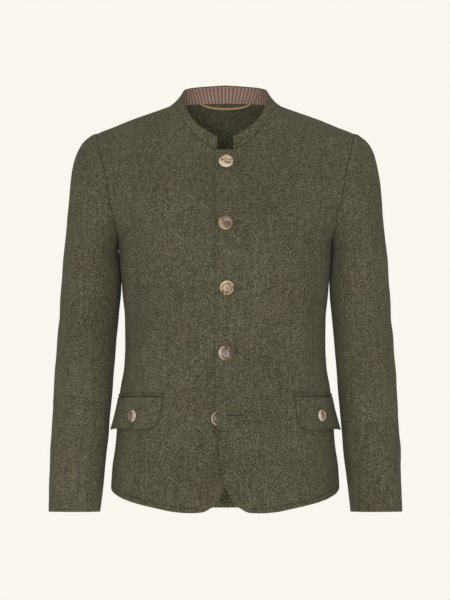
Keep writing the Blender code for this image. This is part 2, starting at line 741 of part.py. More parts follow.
def collar_grid():
    part = column(COLLAR, COLLAR_COLUMNS, "part")
    across = smooth_line(part, column(COLLAR, COLLAR_COLUMNS, "across"))
    along = smooth_line(part, column(COLLAR, COLLAR_COLUMNS, "along"))
    height = smooth_line(part, column(COLLAR, COLLAR_COLUMNS, "height"))
    lines = []
    for side, sign in (("left", 1.0), ("right", -1.0)):
        seam = neck_seam(side)
        line = []
        run = np.concatenate(([0.0], np.cumsum(np.linalg.norm(np.diff(seam, axis=0), axis=1))))
        for i in range(COLLAR_HALF_STEPS + 1):
            t = run[i] / run[-1]
            top = np.array([across(t), along(t), height(t)])
            low = seam[i]
            if side == "left":
                near = 1 - ease(t / 0.14)
                top = top + np.array([0.0, -LAP * 0.8 * near, 0.0])
            low = low + unit(top - low) * COLLAR_LIFT
            line.append((top * (sign, 1, 1), low * (sign, 1, 1)))
        lines.append(line)
    ring = lines[0] + lines[1][-2::-1]
    cols = len(ring)
    grid = np.zeros((COLLAR_ROWS, cols, 3))
    for j in range(COLLAR_ROWS):
        v = j / (COLLAR_ROWS - 1)
        for i, (top, low) in enumerate(ring):
            grid[j, i] = top * (1 - v) + low * v
    normals = np.zeros_like(grid)
    for j in range(COLLAR_ROWS):
        for i in range(cols):
            a, b = max(i - 1, 0), min(i + 1, cols - 1)
            side = grid[j, b] - grid[j, a]
            fall = grid[-1, i] - grid[0, i]
            normals[j, i] = unit(np.cross(fall, side))
    for j in range(COLLAR_ROWS):
        v = j / (COLLAR_ROWS - 1)
        grid[j] = grid[j] + normals[j] * COLLAR_BULGE * 4 * v * (1 - v)
    return grid, normals


collar_outer, collar_normals = collar_grid()
shell("collar", collar_outer, collar_outer - collar_normals * WALL, WOOL)
band = collar_outer - collar_normals * (WALL + SEAM)
band = draw_in(band, 0.0006, ("top", "bottom", "first", "last"))
shell("collar_lining", band, band - collar_normals * LINING_WALL, STRIPE)

# Pocket welts, flaps and their buttons
POCKET_STEPS = 12
FLAP_ROWS = 9
FLAP_ROUND = 0.0220         # how far the rounding of the front corner reaches
FLAP_LEAN = 0.0080          # how far the front edge leans back


def pocket_value(side, name):
    """One value of the pocket table."""
    row = [row for row in POCKETS if row[0] == side][0]
    return row[POCKET_COLUMNS.index(name)]


def pocket_s(side, part, z):
    """Distance along the section at a part of the pocket's length."""
    return s_from_x(pocket_value(side, "across"), z, "front") + pocket_value(side, "length") * part


def flap_lift(part, fall):
    """How far the flap's inner side hangs off the front."""
    return 0.00040 + (0.0030 + 0.0068 * ease((part - 0.55) / 0.45)) * fall ** 1.4


def flap_inset(fall):
    """How far the flap's front edge lies behind its upper corner."""
    return FLAP_LEAN * fall + FLAP_ROUND * (1 - math.sqrt(max(1 - fall ** 6, 0.0)))


def flap_point(side, part, fall):
    z = FLAP_TOP + (pocket_value(side, "bottom") - FLAP_TOP) * fall
    first = pocket_s(side, 0.0, z) + flap_inset(fall)
    s = first + (pocket_s(side, 1.0, z) - first) * part
    point, normal = cloth_point("front_" + side, s, z - POCKET_DROP * part * part)
    return point + normal * flap_lift(part, fall), normal


for name in ("left", "right"):
    mirrored = name == "right"
    low = np.zeros((3, POCKET_STEPS + 1, 3))
    high = np.zeros_like(low)
    for j in range(3):
        z = WELT_TOP + (WELT_BOTTOM - WELT_TOP) * j / 2
        for i in range(POCKET_STEPS + 1):
            part = i / POCKET_STEPS
            s = pocket_s(name, part, z)
            point, normal = cloth_point("front_" + name, s, z - POCKET_DROP * part * part)
            low[j, i] = point + normal * 0.00040
            high[j, i] = point + normal * (0.00040 + WELT_WALL)
    shell("welt_" + name, high, low, WOOL, mirrored=mirrored)
    parts = np.linspace(0.0, 1.0, POCKET_STEPS + 1)
    falls = np.sin(np.linspace(0.0, math.pi / 2, FLAP_ROWS))
    low = np.zeros((FLAP_ROWS, len(parts), 3))
    high = np.zeros_like(low)
    for j in range(FLAP_ROWS):
        for i, part in enumerate(parts):
            point, normal = flap_point(name, part, falls[j])
            low[j, i] = point
            high[j, i] = point + normal * FLAP_WALL
    shell("flap_" + name, high, low, WOOL, mirrored=mirrored)

# Buttons: half of the profile as radius and height, in parts of the full size
PROFILE_COLUMNS = ("radius", "height")
PROFILE = (
    (0.70, 0.00),
    (0.94, 0.20),
    (1.00, 0.52),
    (0.93, 0.86),
    (0.80, 1.00),
    (0.60, 0.86),
    (0.30, 0.74),
)
BUTTON_SIDES = 18


def button(name, point, normal, radius, height):
    """A turned button with a raised rim, its back on the point."""
    points = [(0.0, 0.0, 0.0)]
    faces = []
    for part, up in PROFILE:
        for k in range(BUTTON_SIDES):
            angle = 2 * math.pi * k / BUTTON_SIDES
            points.append((radius * part * math.cos(angle),
                           radius * part * math.sin(angle), height * up))
    points.append((0.0, 0.0, height * 0.72))
    for k in range(BUTTON_SIDES):
        n = (k + 1) % BUTTON_SIDES
        faces.append((0, 1 + n, 1 + k))
        for r in range(len(PROFILE) - 1):
            a = 1 + r * BUTTON_SIDES
            b = a + BUTTON_SIDES
            faces.append((a + k, a + n, b + n, b + k))
        last = 1 + (len(PROFILE) - 1) * BUTTON_SIDES
        faces.append((last + k, last + n, len(points) - 1))
    obj = mesh_object(name, points, faces, HORN)
    obj.location = Vector(point)
    obj.rotation_euler = Vector(normal).to_track_quat("Z", "Y").to_euler()
    return obj


BUTTON_CLEAR = 0.00045

for node, panel, across, height in BUTTONS:
    s = s_from_x(across, height, "front")
    point, normal = cloth_point(panel, s, height)
    spots = []
    for ds, dz in ((0.011, 0.0), (-0.011, 0.0), (0.0, 0.011), (0.0, -0.011)):
        spots.append(cloth_point(panel, s + ds, height + dz)[0])
    normal = unit(np.cross(spots[0] - spots[1], spots[2] - spots[3]))
    ahead = max(float(np.dot(spot - point, normal)) for spot in spots + [point])
    point = point + normal * (max(ahead, 0.0) + BUTTON_CLEAR)
    if panel == "front_right":
        point = point * (-1, 1, 1)
        normal = normal * (-1, 1, 1)
    button(node, point, normal, BUTTON_RADIUS, BUTTON_HEIGHT)

for name in ("left", "right"):
    part = pocket_value(name, "button_part")
    flap_fall = (FLAP_BUTTON_HEIGHT - FLAP_TOP) / (pocket_value(name, "bottom") - FLAP_TOP)
    point, out = flap_point(name, part, flap_fall)
    spots = []
    for dp, df in ((0.075, 0.0), (-0.075, 0.0), (0.0, -0.17), (0.0, 0.17)):
        spots.append(flap_point(name, part + dp, flap_fall + df)[0])
    normal = unit(np.cross(spots[0] - spots[1], spots[2] - spots[3]))
    ahead = max(float(np.dot(spot - point, normal)) for spot in spots + [point])
    point = point + out * FLAP_WALL + normal * (max(ahead, 0.0) + BUTTON_CLEAR)
    if name == "right":
        point = point * (-1, 1, 1)
        normal = normal * (-1, 1, 1)
    button("flap_button_" + name, point, normal, FLAP_BUTTON_RADIUS, BUTTON_HEIGHT * 0.85)

# Hanger loop: a smooth curve through its table, a point every 2 to 3 diameters
loop_t = np.linspace(0, 1, len(LOOP))
loop_x = smooth_line(loop_t, column(LOOP, LOOP_COLUMNS, "across"))
loop_in = smooth_line(loop_t, column(LOOP, LOOP_COLUMNS, "inset"))
loop_z = smooth_line(loop_t, column(LOOP, LOOP_COLUMNS, "height"))
route = []
for t in np.linspace(0, 1, 120):
    x = loop_x(t)
    z = loop_z(t)
    s = s_from_x(abs(x), z, "back")
    point = body_point(s, z, "back") - body_normal(s, z, "back") * (WALL + loop_in(t))
    route.append(point * (math.copysign(1.0, x), 1, 1))
route = by_length(route, 11)
curve = bpy.data.curves.new("hanger_loop", "CURVE")
curve.dimensions = "3D"
curve.bevel_depth = CORD_DIAMETER / 2
curve.bevel_resolution = 2
curve.use_fill_caps = True
spline = curve.splines.new("POLY")
spline.points.add(len(route) - 1)
for spot, place in zip(spline.points, route):
    spot.co = (place[0], place[1], place[2], 1.0)
curve.materials.append(BRAID)
loop = bpy.data.objects.new("hanger_loop", curve)
bpy.context.scene.collection.objects.link(loop)
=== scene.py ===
# Looks for a wool jacket with a stand collar: cloth, sewing, buttons and stage.
# Metres, +Z up. The wearer faces -Y, so the wearer's left is +X.

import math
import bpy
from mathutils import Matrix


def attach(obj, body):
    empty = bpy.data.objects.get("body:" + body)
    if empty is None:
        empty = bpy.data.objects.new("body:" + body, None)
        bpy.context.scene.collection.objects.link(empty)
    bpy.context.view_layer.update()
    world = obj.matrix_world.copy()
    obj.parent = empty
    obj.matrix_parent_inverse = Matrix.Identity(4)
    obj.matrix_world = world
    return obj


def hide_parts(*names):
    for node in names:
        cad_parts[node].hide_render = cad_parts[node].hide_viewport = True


bl_info = {
    "name": "Stand Collar Wool Jacket",
    "version": (1, 0, 0),
    "blender": (4, 5, 0),
    "location": "View3D > Sidebar > Jacket",
    "description": "Builds the cloth, sewing, buttons and stage of a wool jacket",
    "category": "Object",
}

import bpy
import numpy as np
from bpy.props import FloatProperty, FloatVectorProperty, IntProperty, PointerProperty
from mathutils import Vector, noise

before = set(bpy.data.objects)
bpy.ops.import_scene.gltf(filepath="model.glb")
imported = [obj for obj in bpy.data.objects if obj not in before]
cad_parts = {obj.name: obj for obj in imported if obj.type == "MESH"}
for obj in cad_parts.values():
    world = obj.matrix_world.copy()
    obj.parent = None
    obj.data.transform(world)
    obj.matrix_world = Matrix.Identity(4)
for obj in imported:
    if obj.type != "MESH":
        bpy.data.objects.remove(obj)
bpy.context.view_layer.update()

# Sizes shared with the solids
WALL = 0.0025
LINING_WALL = 0.0012
SEAM_GAP = 0.0003
FRONT_EDGE = 0.0165
LAP = 0.0034
LOW_LAP = 0.0022
CORD_DIAMETER = 0.0046
BUTTON_RADIUS = 0.01225
BUTTON_HEIGHT = 0.0042
FLAP_BUTTON_RADIUS = 0.0100
NECK_SIDE = 0.0017
NECK_BACK = 0.0130
SHOULDER = -0.0464
UNDERARM = -0.2350
ARM_FRONT = 0.0665
ARM_BACK = 0.0730

BODY_COLUMNS = ("height", "half", "front", "back", "square")
BODY = (
    (0.0220, 0.0680, 0.0240, 0.0600, 2.00),
    (0.0017, 0.0946, 0.0380, 0.0740, 2.00),
    (-0.0050, 0.1122, 0.0420, 0.0785, 2.00),
    (-0.0086, 0.1222, 0.0440, 0.0810, 2.00),
    (-0.0224, 0.1612, 0.0500, 0.0890, 2.00),
    (-0.0360, 0.1942, 0.0570, 0.0965, 2.00),
    (-0.0464, 0.2196, 0.0620, 0.1020, 2.05),
    (-0.0635, 0.2340, 0.0710, 0.1090, 2.10),
    (-0.0840, 0.2475, 0.0810, 0.1150, 2.10),
    (-0.1190, 0.2505, 0.0990, 0.1215, 2.10),
    (-0.1530, 0.2407, 0.1125, 0.1260, 2.15),
    (-0.1800, 0.2219, 0.1210, 0.1280, 2.20),
    (-0.2050, 0.2053, 0.1265, 0.1285, 2.20),
    (-0.2350, 0.1845, 0.1305, 0.1280, 2.25),
    (-0.2600, 0.1825, 0.1325, 0.1265, 2.25),
    (-0.2900, 0.1793, 0.1335, 0.1235, 2.25),
    (-0.3250, 0.1763, 0.1335, 0.1180, 2.25),
    (-0.3630, 0.1725, 0.1315, 0.1115, 2.25),
    (-0.4100, 0.1720, 0.1290, 0.1070, 2.20),
    (-0.4455, 0.1737, 0.1285, 0.1090, 2.20),
    (-0.4870, 0.1806, 0.1305, 0.1165, 2.20),
    (-0.5300, 0.1848, 0.1340, 0.1240, 2.20),
    (-0.5800, 0.1885, 0.1385, 0.1300, 2.20),
    (-0.6210, 0.1943, 0.1415, 0.1340, 2.20),
    (-0.6520, 0.1960, 0.1430, 0.1360, 2.20),
    (-0.7200, 0.1980, 0.1450, 0.1380, 2.20),
)

# Seam of the collar on one front, from the centre line to the shoulder seam.
NECK_COLUMNS = ("across", "height")
NECK = (
    (0.0000, -0.0805),
    (0.0134, -0.0799),
    (0.0310, -0.0705),
    (0.0472, -0.0584),
    (0.0597, -0.0427),
    (0.0728, -0.0253),
    (0.0826, -0.0059),
    (0.0946, 0.0017),
)

# Front edge below the neck: how far the edge reaches past the centre line.
EDGE_COLUMNS = ("height", "past")
EDGE = (
    (-0.0805, 0.0165),
    (-0.3000, 0.0170),
    (-0.4800, 0.0165),
    (-0.5458, 0.0140),
    (-0.6000, 0.0080),
    (-0.6380, 0.0008),
    (-0.6560, -0.0080),
    (-0.6660, -0.0145),
    (-0.6735, -0.0220),
)

# Hem heights along a quarter of the body, from the centre to the side seam.
HEM_COLUMNS = ("part", "front", "back")
HEM = (
    (0.00, -0.6735, -0.7045),
    (0.08, -0.6735, -0.7043),
    (0.11, -0.6784, -0.7040),
    (0.145, -0.6820, -0.7033),
    (0.22, -0.6832, -0.7022),
    (0.30, -0.6821, -0.7002),
    (0.44, -0.6768, -0.6955),
    (0.59, -0.6710, -0.6880),
    (0.70, -0.6662, -0.6800),
    (0.80, -0.6612, -0.6700),
    (0.90, -0.6568, -0.6606),
    (1.00, -0.6534, -0.6539),
)

# Top edge of the collar, by the part of the way from the front end to the back.
COLLAR_COLUMNS = ("part", "across", "along", "height")
COLLAR = (
    (0.00, 0.0134, -0.0745, -0.0562),
    (0.14, 0.0330, -0.0690, -0.0455),
    (0.26, 0.0500, -0.0610, -0.0315),
    (0.38, 0.0625, -0.0490, -0.0150),
    (0.50, 0.0705, -0.0290, 0.0055),
    (0.60, 0.0738, -0.0030, 0.0215),
    (0.70, 0.0712, 0.0220, 0.0320),
    (0.80, 0.0600, 0.0420, 0.0374),
    (0.90, 0.0330, 0.0555, 0.0417),
    (1.00, 0.0000, 0.0590, 0.0442),
)

# Level sections of a sleeve below the armhole, from the upper arm to the cuff.
SLEEVE_COLUMNS = ("height", "across", "along", "half", "deep")
SLEEVE = (
    (-0.2600, 0.2311, 0.0000, 0.0474, 0.0720),
    (-0.2900, 0.2306, 0.0030, 0.0502, 0.0712),
    (-0.3100, 0.2312, 0.0042, 0.0515, 0.0703),
    (-0.3250, 0.2320, 0.0050, 0.0520, 0.0695),
    (-0.3630, 0.2348, 0.0060, 0.0508, 0.0675),
    (-0.3940, 0.2378, 0.0055, 0.0512, 0.0660),
    (-0.4250, 0.2400, 0.0040, 0.0508, 0.0645),
    (-0.4660, 0.2432, 0.0000, 0.0507, 0.0620),
    (-0.5070, 0.2456, -0.0050, 0.0503, 0.0592),
    (-0.5590, 0.2486, -0.0120, 0.0490, 0.0560),
    (-0.6000, 0.2511, -0.0180, 0.0478, 0.0535),
    (-0.6520, 0.2545, -0.0250, 0.0460, 0.0505),
    (-0.6928, 0.2574, -0.0300, 0.0440, 0.0485),
)
FRONT_SLEEVE_SEAM = 128      # degrees from the outside of the arm, to the front
BACK_SLEEVE_SEAM = 146       # degrees from the outside of the arm, to the back
SLEEVE_TOP = -0.260
CUFF = -0.6928

# Soft folds: a ridge or trough between two points of a panel, in metres.
# across runs from the centre line towards the side seam.
# Columns: panel, across and height of both ends, width, height of the fold.
FOLDS = (
    ("front_left", 0.055, -0.240, 0.060, -0.420, 0.026, 0.0022),
    ("front_left", 0.020, -0.318, 0.105, -0.262, 0.011, 0.0016),
    ("front_left", 0.022, -0.338, 0.120, -0.300, 0.012, -0.0015),
    ("front_left", 0.165, -0.225, 0.175, -0.360, 0.016, -0.0034),
    ("front_left", 0.130, -0.250, 0.140, -0.460, 0.022, 0.0026),
    ("front_left", 0.060, -0.560, 0.075, -0.665, 0.026, 0.0024),
    ("front_right", 0.055, -0.230, 0.050, -0.440, 0.028, 0.0026),
    ("front_right", 0.028, -0.322, 0.130, -0.300, 0.012, -0.0015),
    ("front_right", 0.030, -0.300, 0.110, -0.250, 0.012, 0.0014),
    ("front_right", 0.165, -0.225, 0.172, -0.350, 0.016, -0.0036),
    ("front_right", 0.128, -0.260, 0.145, -0.470, 0.022, 0.0022),
    ("front_right", 0.070, -0.550, 0.085, -0.665, 0.028, 0.0022),
    ("back_left", 0.150, -0.215, 0.130, -0.400, 0.018, -0.0034),
    ("back_left", 0.085, -0.300, 0.095, -0.520, 0.026, 0.0030),
    ("back_left", 0.020, -0.360, 0.140, -0.330, 0.013, -0.0016),
    ("back_left", 0.090, -0.560, 0.110, -0.690, 0.030, 0.0030),
    ("back_right", 0.148, -0.220, 0.135, -0.390, 0.018, -0.0032),
    ("back_right", 0.090, -0.310, 0.085, -0.500, 0.028, 0.0028),
    ("back_right", 0.025, -0.345, 0.140, -0.365, 0.013, -0.0016),
    ("back_right", 0.100, -0.550, 0.095, -0.690, 0.030, 0.0030),
)

# Soft folds of the sleeves: turn is degrees from the outside of the arm, front
# is positive. The fold runs round the arm by half its span and falls by drop.
# Columns: sleeve, turn, height, span, drop, width, height of the fold.
ARM_FOLDS = (
    ("sleeve_left", 70.0, -0.245, 60.0, 0.060, 0.013, -0.0030),
    ("sleeve_left", 95.0, -0.405, 70.0, 0.030, 0.014, -0.0030),
    ("sleeve_left", 80.0, -0.450, 60.0, -0.020, 0.013, -0.0024),
    ("sleeve_left", -80.0, -0.430, 70.0, 0.025, 0.018, 0.0030),
    ("sleeve_left", -60.0, -0.250, 55.0, 0.050, 0.015, -0.0028),
    ("sleeve_left", 30.0, -0.600, 60.0, 0.030, 0.020, 0.0018),
    ("sleeve_right", 72.0, -0.240, 58.0, 0.060, 0.013, -0.0030),
    ("sleeve_right", 92.0, -0.395, 66.0, 0.026, 0.014, -0.0028),
    ("sleeve_right", 84.0, -0.460, 60.0, -0.024, 0.013, -0.0026),
    ("sleeve_right", -76.0, -0.420, 66.0, 0.022, 0.018, 0.0030),
    ("sleeve_right", -64.0, -0.245, 55.0, 0.045, 0.015, -0.0026),
    ("sleeve_right", 36.0, -0.580, 56.0, -0.020, 0.020, 0.0018),
)

# Buttons on the fronts: name, the panel each one lies on, across and height.
BUTTONS = (
    ("button_1", "front_left", 0.0012, -0.1026),
    ("button_2", "front_left", 0.0008, -0.2052),
    ("button_3", "front_left", 0.0030, -0.3120),
    ("button_4", "front_left", 0.0005, -0.4190),
    ("button_5", "front_right", 0.0116, -0.5275),
)

# Hip pockets: each side has its own place and size
POCKET_COLUMNS = ("side", "across", "length", "bottom", "button_part")
POCKETS = (
    ("left", 0.1145, 0.1300, -0.5490, 0.408),
    ("right", 0.1030, 0.1312, -0.5475, 0.43),
)
POCKET_DROP = 0.0060         # how much lower the pocket's outer end lies
WELT_TOP = -0.4870
WELT_BOTTOM = -0.4921
WELT_WALL = 0.0015
FLAP_TOP = -0.4930
FLAP_WALL = 0.0022
FLAP_BUTTON_HEIGHT = -0.5255

# Hanger loop inside the back neck: across, depth in from the cloth, height
LOOP_COLUMNS = ("across", "inset", "height")
LOOP = (
    (-0.0468, 0.0048, 0.0150),
    (-0.0400, 0.0044, 0.0116),
    (-0.0300, 0.0040, 0.0090),
    (-0.0180, 0.0036, 0.0073),
    (0.0000, 0.0034, 0.0064),
    (0.0180, 0.0036, 0.0069),
    (0.0300, 0.0040, 0.0085),
    (0.0400, 0.0044, 0.0110),
    (0.0463, 0.0048, 0.0138),
)


def column(table, names, name):
    """One named column of a table, as an array."""
    at = names.index(name)
    return np.array([row[at] for row in table], dtype=float)


def smooth_line(xs, ys):
    """A curve through the points that never overshoots them."""
    xs = np.asarray(xs, dtype=float)
    ys = np.asarray(ys, dtype=float)
    order = np.argsort(xs)
    xs = xs[order]
    ys = ys[order]
    step = np.diff(xs)
    slope = np.diff(ys) / step
    tangent = np.zeros(len(xs))
    tangent[0] = slope[0]
    tangent[-1] = slope[-1]
    for i in range(1, len(xs) - 1):
        if slope[i - 1] * slope[i] > 0:
            w1 = 2 * step[i] + step[i - 1]
            w2 = step[i] + 2 * step[i - 1]
            tangent[i] = (w1 + w2) / (w1 / slope[i - 1] + w2 / slope[i])

    def value(x):
        x = min(max(float(x), xs[0]), xs[-1])
        i = int(np.searchsorted(xs, x, side="right")) - 1
        i = min(max(i, 0), len(step) - 1)
        t = (x - xs[i]) / step[i]
        a = (1 + 2 * t) * (1 - t) ** 2
        b = t * (1 - t) ** 2
        c = t * t * (3 - 2 * t)
        d = t * t * (t - 1)
        return a * ys[i] + b * step[i] * tangent[i] + c * ys[i + 1] + d * step[i] * tangent[i + 1]

    return value


def ease(x):
    """0 below 0, 1 above 1, and a soft step between."""
    x = min(max(x, 0.0), 1.0)
    return x * x * (3 - 2 * x)


def unit(v):
    """A direction of length 1."""
    return v / max(np.linalg.norm(v), 1e-12)


def line_run(points):
    """Distance of each point of a line from its first point."""
    steps = np.linalg.norm(np.diff(points, axis=0), axis=1)
    return np.concatenate(([0.0], np.cumsum(steps)))


def curves(table, names, key, *wanted):
    """Smooth curves of some columns of a table over another of its columns,
    or over even parts from 0 to 1 where key is None."""
    at = np.linspace(0, 1, len(table)) if key is None else column(table, names, key)
    return [smooth_line(at, column(table, names, name)) for name in wanted]


body_half, body_front, body_back, body_square = curves(BODY, BODY_COLUMNS, "height", "half", "front", "back",
                                                       "square")

PANELS = ("front_left", "front_right", "back_left", "back_right")
QUARTER_STEPS = 180
quarter_cache = {}


def quarter(z, face):
    """Points along a quarter section and their distance from the centre."""
    key = (round(z, 6), face)
    if key in quarter_cache:
        return quarter_cache[key]
    half = body_half(z)
    deep = body_front(z) if face == "front" else body_back(z)
    power = 2.0 / body_square(z)
    angle = np.linspace(0.0, math.pi / 2, QUARTER_STEPS + 1)
    x = half * np.abs(np.sin(angle)) ** power
    y = deep * np.abs(np.cos(angle)) ** power
    run = np.concatenate(([0.0], np.cumsum(np.hypot(np.diff(x), np.diff(y)))))
    quarter_cache[key] = (x, y, run)
    return quarter_cache[key]


def quarter_length(z, face):
    """Length of a quarter section, from the centre to the side seam."""
    return quarter(z, face)[2][-1]


def body_point(s, z, face):
    """A point of the body, s metres along the section from the centre line."""
    x, y, run = quarter(z, face)
    length = run[-1]
    sign = 1.0
    if s < 0:
        s = -s
        sign = -1.0
    if s > length:
        other = "back" if face == "front" else "front"
        x2, y2, run2 = quarter(z, other)
        rest = run2[-1] - (s - length)
        px = np.interp(rest, run2, x2)
        py = np.interp(rest, run2, y2)
        face = other
    else:
        px = np.interp(s, run, x)
        py = np.interp(s, run, y)
    if face == "front":
        py = -py
    return np.array([sign * px, py, z])


def body_normal(s, z, face):
    """Outward direction of the body at a point."""
    ds = 0.0015
    dz = 0.0012
    part = s / quarter_length(z, face)
    along = body_point(s + ds, z, face) - body_point(s - ds, z, face)
    up_s = part * quarter_length(z + dz, face)
    down_s = part * quarter_length(z - dz, face)
    upward = body_point(up_s, z + dz, face) - body_point(down_s, z - dz, face)
    normal = unit(np.cross(along, upward))
    if face == "back":
        normal = -normal
    return normal


def s_from_x(x, z, face):
    """Distance along the section of the point with this distance across."""
    x_line, _, run = quarter(z, face)
    return math.copysign(np.interp(abs(x), x_line, run), x)


def s_from_y(y, z, face):
    """Distance along the section of the point with this depth."""
    _, y_line, run = quarter(z, face)
    return float(np.interp(-abs(y), -y_line, run))


def armhole(turn, face):
    """The armhole, by the angle down from the shoulder: distance along, height."""
    angle = math.radians(turn)
    z = (SHOULDER + UNDERARM) / 2 + (SHOULDER - UNDERARM) / 2 * math.cos(angle)
    reach = ARM_FRONT if face == "front" else ARM_BACK
    y = reach * math.sin(angle) * (1 - 0.3 * math.cos(angle))
    if turn <= 0 or turn >= 180:
        return quarter_length(z, face), z
    return s_from_y(y, z, face), z


neck_line, neck_rise = curves(NECK, NECK_COLUMNS, None, "across", "height")
edge_past = curves(EDGE, EDGE_COLUMNS, "height", "past")[0]
hem_front, hem_back = curves(HEM, HEM_COLUMNS, "part", "front", "back")

# Finer creases that lie on the folds of the solids, in the same columns
CREASES = (
    ("front_left", 0.150, -0.235, 0.105, -0.285, 0.0075, -0.0011),
    ("front_left", 0.158, -0.262, 0.118, -0.322, 0.0070, -0.0009),
    ("front_left", 0.020, -0.312, 0.058, -0.286, 0.0050, 0.0007),
    ("front_left", 0.020, -0.320, 0.075, -0.325, 0.0055, -0.0007),
    ("front_left", 0.020, -0.424, 0.080, -0.404, 0.0065, -0.0008),
    ("front_left", 0.025, -0.212, 0.085, -0.232, 0.0070, -0.0006),
    ("front_left", 0.185, -0.370, 0.120, -0.392, 0.0080, -0.0010),
    ("front_left", 0.185, -0.398, 0.135, -0.432, 0.0080, 0.0009),
    ("front_left", 0.150, -0.120, 0.185, -0.205, 0.0110, -0.0013),
    ("front_left", 0.110, -0.560, 0.125, -0.640, 0.0160, -0.0012),
    ("front_right", 0.152, -0.240, 0.112, -0.300, 0.0075, -0.0012),
    ("front_right", 0.156, -0.275, 0.110, -0.340, 0.0075, -0.0009),
    ("front_right", 0.022, -0.306, 0.066, -0.292, 0.0050, 0.0006),
    ("front_right", 0.022, -0.318, 0.080, -0.334, 0.0060, -0.0008),
    ("front_right", 0.022, -0.420, 0.070, -0.428, 0.0060, -0.0007),
    ("front_right", 0.188, -0.360, 0.125, -0.378, 0.0080, -0.0011),
    ("front_right", 0.186, -0.405, 0.140, -0.440, 0.0085, 0.0008),
    ("front_right", 0.148, -0.125, 0.182, -0.210, 0.0110, -0.0012),
    ("front_right", 0.100, -0.580, 0.120, -0.650, 0.0160, -0.0012),
    ("back_left", 0.165, -0.230, 0.115, -0.290, 0.0085, -0.0013),
    ("back_left", 0.160, -0.262, 0.105, -0.330, 0.0080, 0.0010),
    ("back_left", 0.010, -0.372, 0.120, -0.352, 0.0075, -0.0012),
    ("back_left", 0.015, -0.400, 0.110, -0.395, 0.0080, 0.0009),
    ("back_left", 0.175, -0.410, 0.110, -0.430, 0.0080, -0.0010),
    ("back_left", 0.070, -0.085, 0.140, -0.110, 0.0120, -0.0010),
    ("back_right", 0.163, -0.236, 0.108, -0.300, 0.0085, -0.0013),
    ("back_right", 0.158, -0.270, 0.112, -0.325, 0.0080, 0.0010),
    ("back_right", 0.010, -0.360, 0.130, -0.372, 0.0075, -0.0012),
    ("back_right", 0.012, -0.392, 0.105, -0.410, 0.0080, 0.0010),
    ("back_right", 0.178, -0.420, 0.120, -0.412, 0.0080, -0.0010),
    ("back_right", 0.075, -0.080, 0.145, -0.120, 0.0120, -0.0010),
)

# Finer creases of the sleeves, in the same columns as the sleeve folds
ARM_CREASES = (
    ("sleeve_left", 60.0, -0.215, 40.0, 0.045, 0.0080, -0.0013),
    ("sleeve_left", 75.0, -0.285, 50.0, 0.035, 0.0080, -0.0012),
    ("sleeve_left", 100.0, -0.365, 45.0, 0.022, 0.0070, -0.0013),
    ("sleeve_left", 105.0, -0.385, 50.0, 0.014, 0.0055, 0.0011),
    ("sleeve_left", 98.0, -0.425, 46.0, -0.010, 0.0065, -0.0012),
    ("sleeve_left", 60.0, -0.480, 42.0, -0.026, 0.0080, -0.0009),
    ("sleeve_left", 45.0, -0.545, 50.0, 0.020, 0.0090, -0.0008),
    ("sleeve_left", 50.0, -0.640, 50.0, 0.016, 0.0090, 0.0008),
    ("sleeve_left", -95.0, -0.395, 55.0, 0.018, 0.0080, 0.0012),
    ("sleeve_left", -85.0, -0.455, 50.0, -0.014, 0.0080, -0.0010),
    ("sleeve_left", -55.0, -0.205, 40.0, 0.050, 0.0090, -0.0013),
    ("sleeve_left", -70.0, -0.300, 50.0, 0.040, 0.0090, -0.0011),
    ("sleeve_left", -60.0, -0.560, 55.0, 0.022, 0.0100, -0.0009),
    ("sleeve_right", 58.0, -0.220, 42.0, 0.048, 0.0080, -0.0013),
    ("sleeve_right", 80.0, -0.295, 50.0, 0.030, 0.0080, -0.0011),
    ("sleeve_right", 102.0, -0.355, 46.0, 0.018, 0.0070, -0.0012),
    ("sleeve_right", 100.0, -0.415, 50.0, 0.010, 0.0055, 0.0011),
    ("sleeve_right", 96.0, -0.435, 46.0, -0.012, 0.0065, -0.0013),
    ("sleeve_right", 64.0, -0.495, 42.0, -0.022, 0.0080, -0.0009),
    ("sleeve_right", 40.0, -0.530, 50.0, 0.018, 0.0090, -0.0008),
    ("sleeve_right", 55.0, -0.625, 50.0, 0.018, 0.0090, 0.0008),
    ("sleeve_right", -92.0, -0.385, 55.0, 0.020, 0.0080, 0.0012),
    ("sleeve_right", -88.0, -0.445, 50.0, -0.012, 0.0080, -0.0010),
    ("sleeve_right", -58.0, -0.210, 40.0, 0.045, 0.0090, -0.0013),
    ("sleeve_right", -72.0, -0.310, 50.0, 0.036, 0.0090, -0.0011),
    ("sleeve_right", -55.0, -0.575, 55.0, 0.020, 0.0100, -0.0009),
)

ARMHOLE_PULL = 2.4
ARM_STEPS = 40
SIDE_STEPS = 76
NECK_STEPS = 26
CORNER_STEPS = 6
SHOULDER_STEPS = 28


def spread(points, count):
    """Points spread evenly along a line of points."""
    points = np.asarray(points, dtype=float)
    run = line_run(points)
    want = np.linspace(0.0, run[-1], count)
    return np.column_stack([np.interp(want, run, points[:, k]) for k in range(points.shape[1])])


def collar_seam_chart(face):
    """The collar seam on one side, as chart points from the centre outward."""
    points = []
    if face == "front":
        for t in np.linspace(0, 1, 120):
            x = neck_line(t)
            z = neck_rise(t)
            if x < COLLAR[0][1]:
                continue
            s = quarter_length(z, "front") if t >= 1 else s_from_x(x, z, "front")
            points.append((s, z))
        corner = spread([(-FRONT_EDGE, NECK[0][1]), points[0]], CORNER_STEPS + 1)
        return np.vstack([corner[:-1], spread(points, NECK_STEPS + 1)])
    for t in np.linspace(0, 1, 80):
        z = NECK_BACK + (NECK_SIDE - NECK_BACK) * t ** 1.75
        points.append((t * quarter_length(z, "back"), z))
    return spread(points, NECK_STEPS + 1)


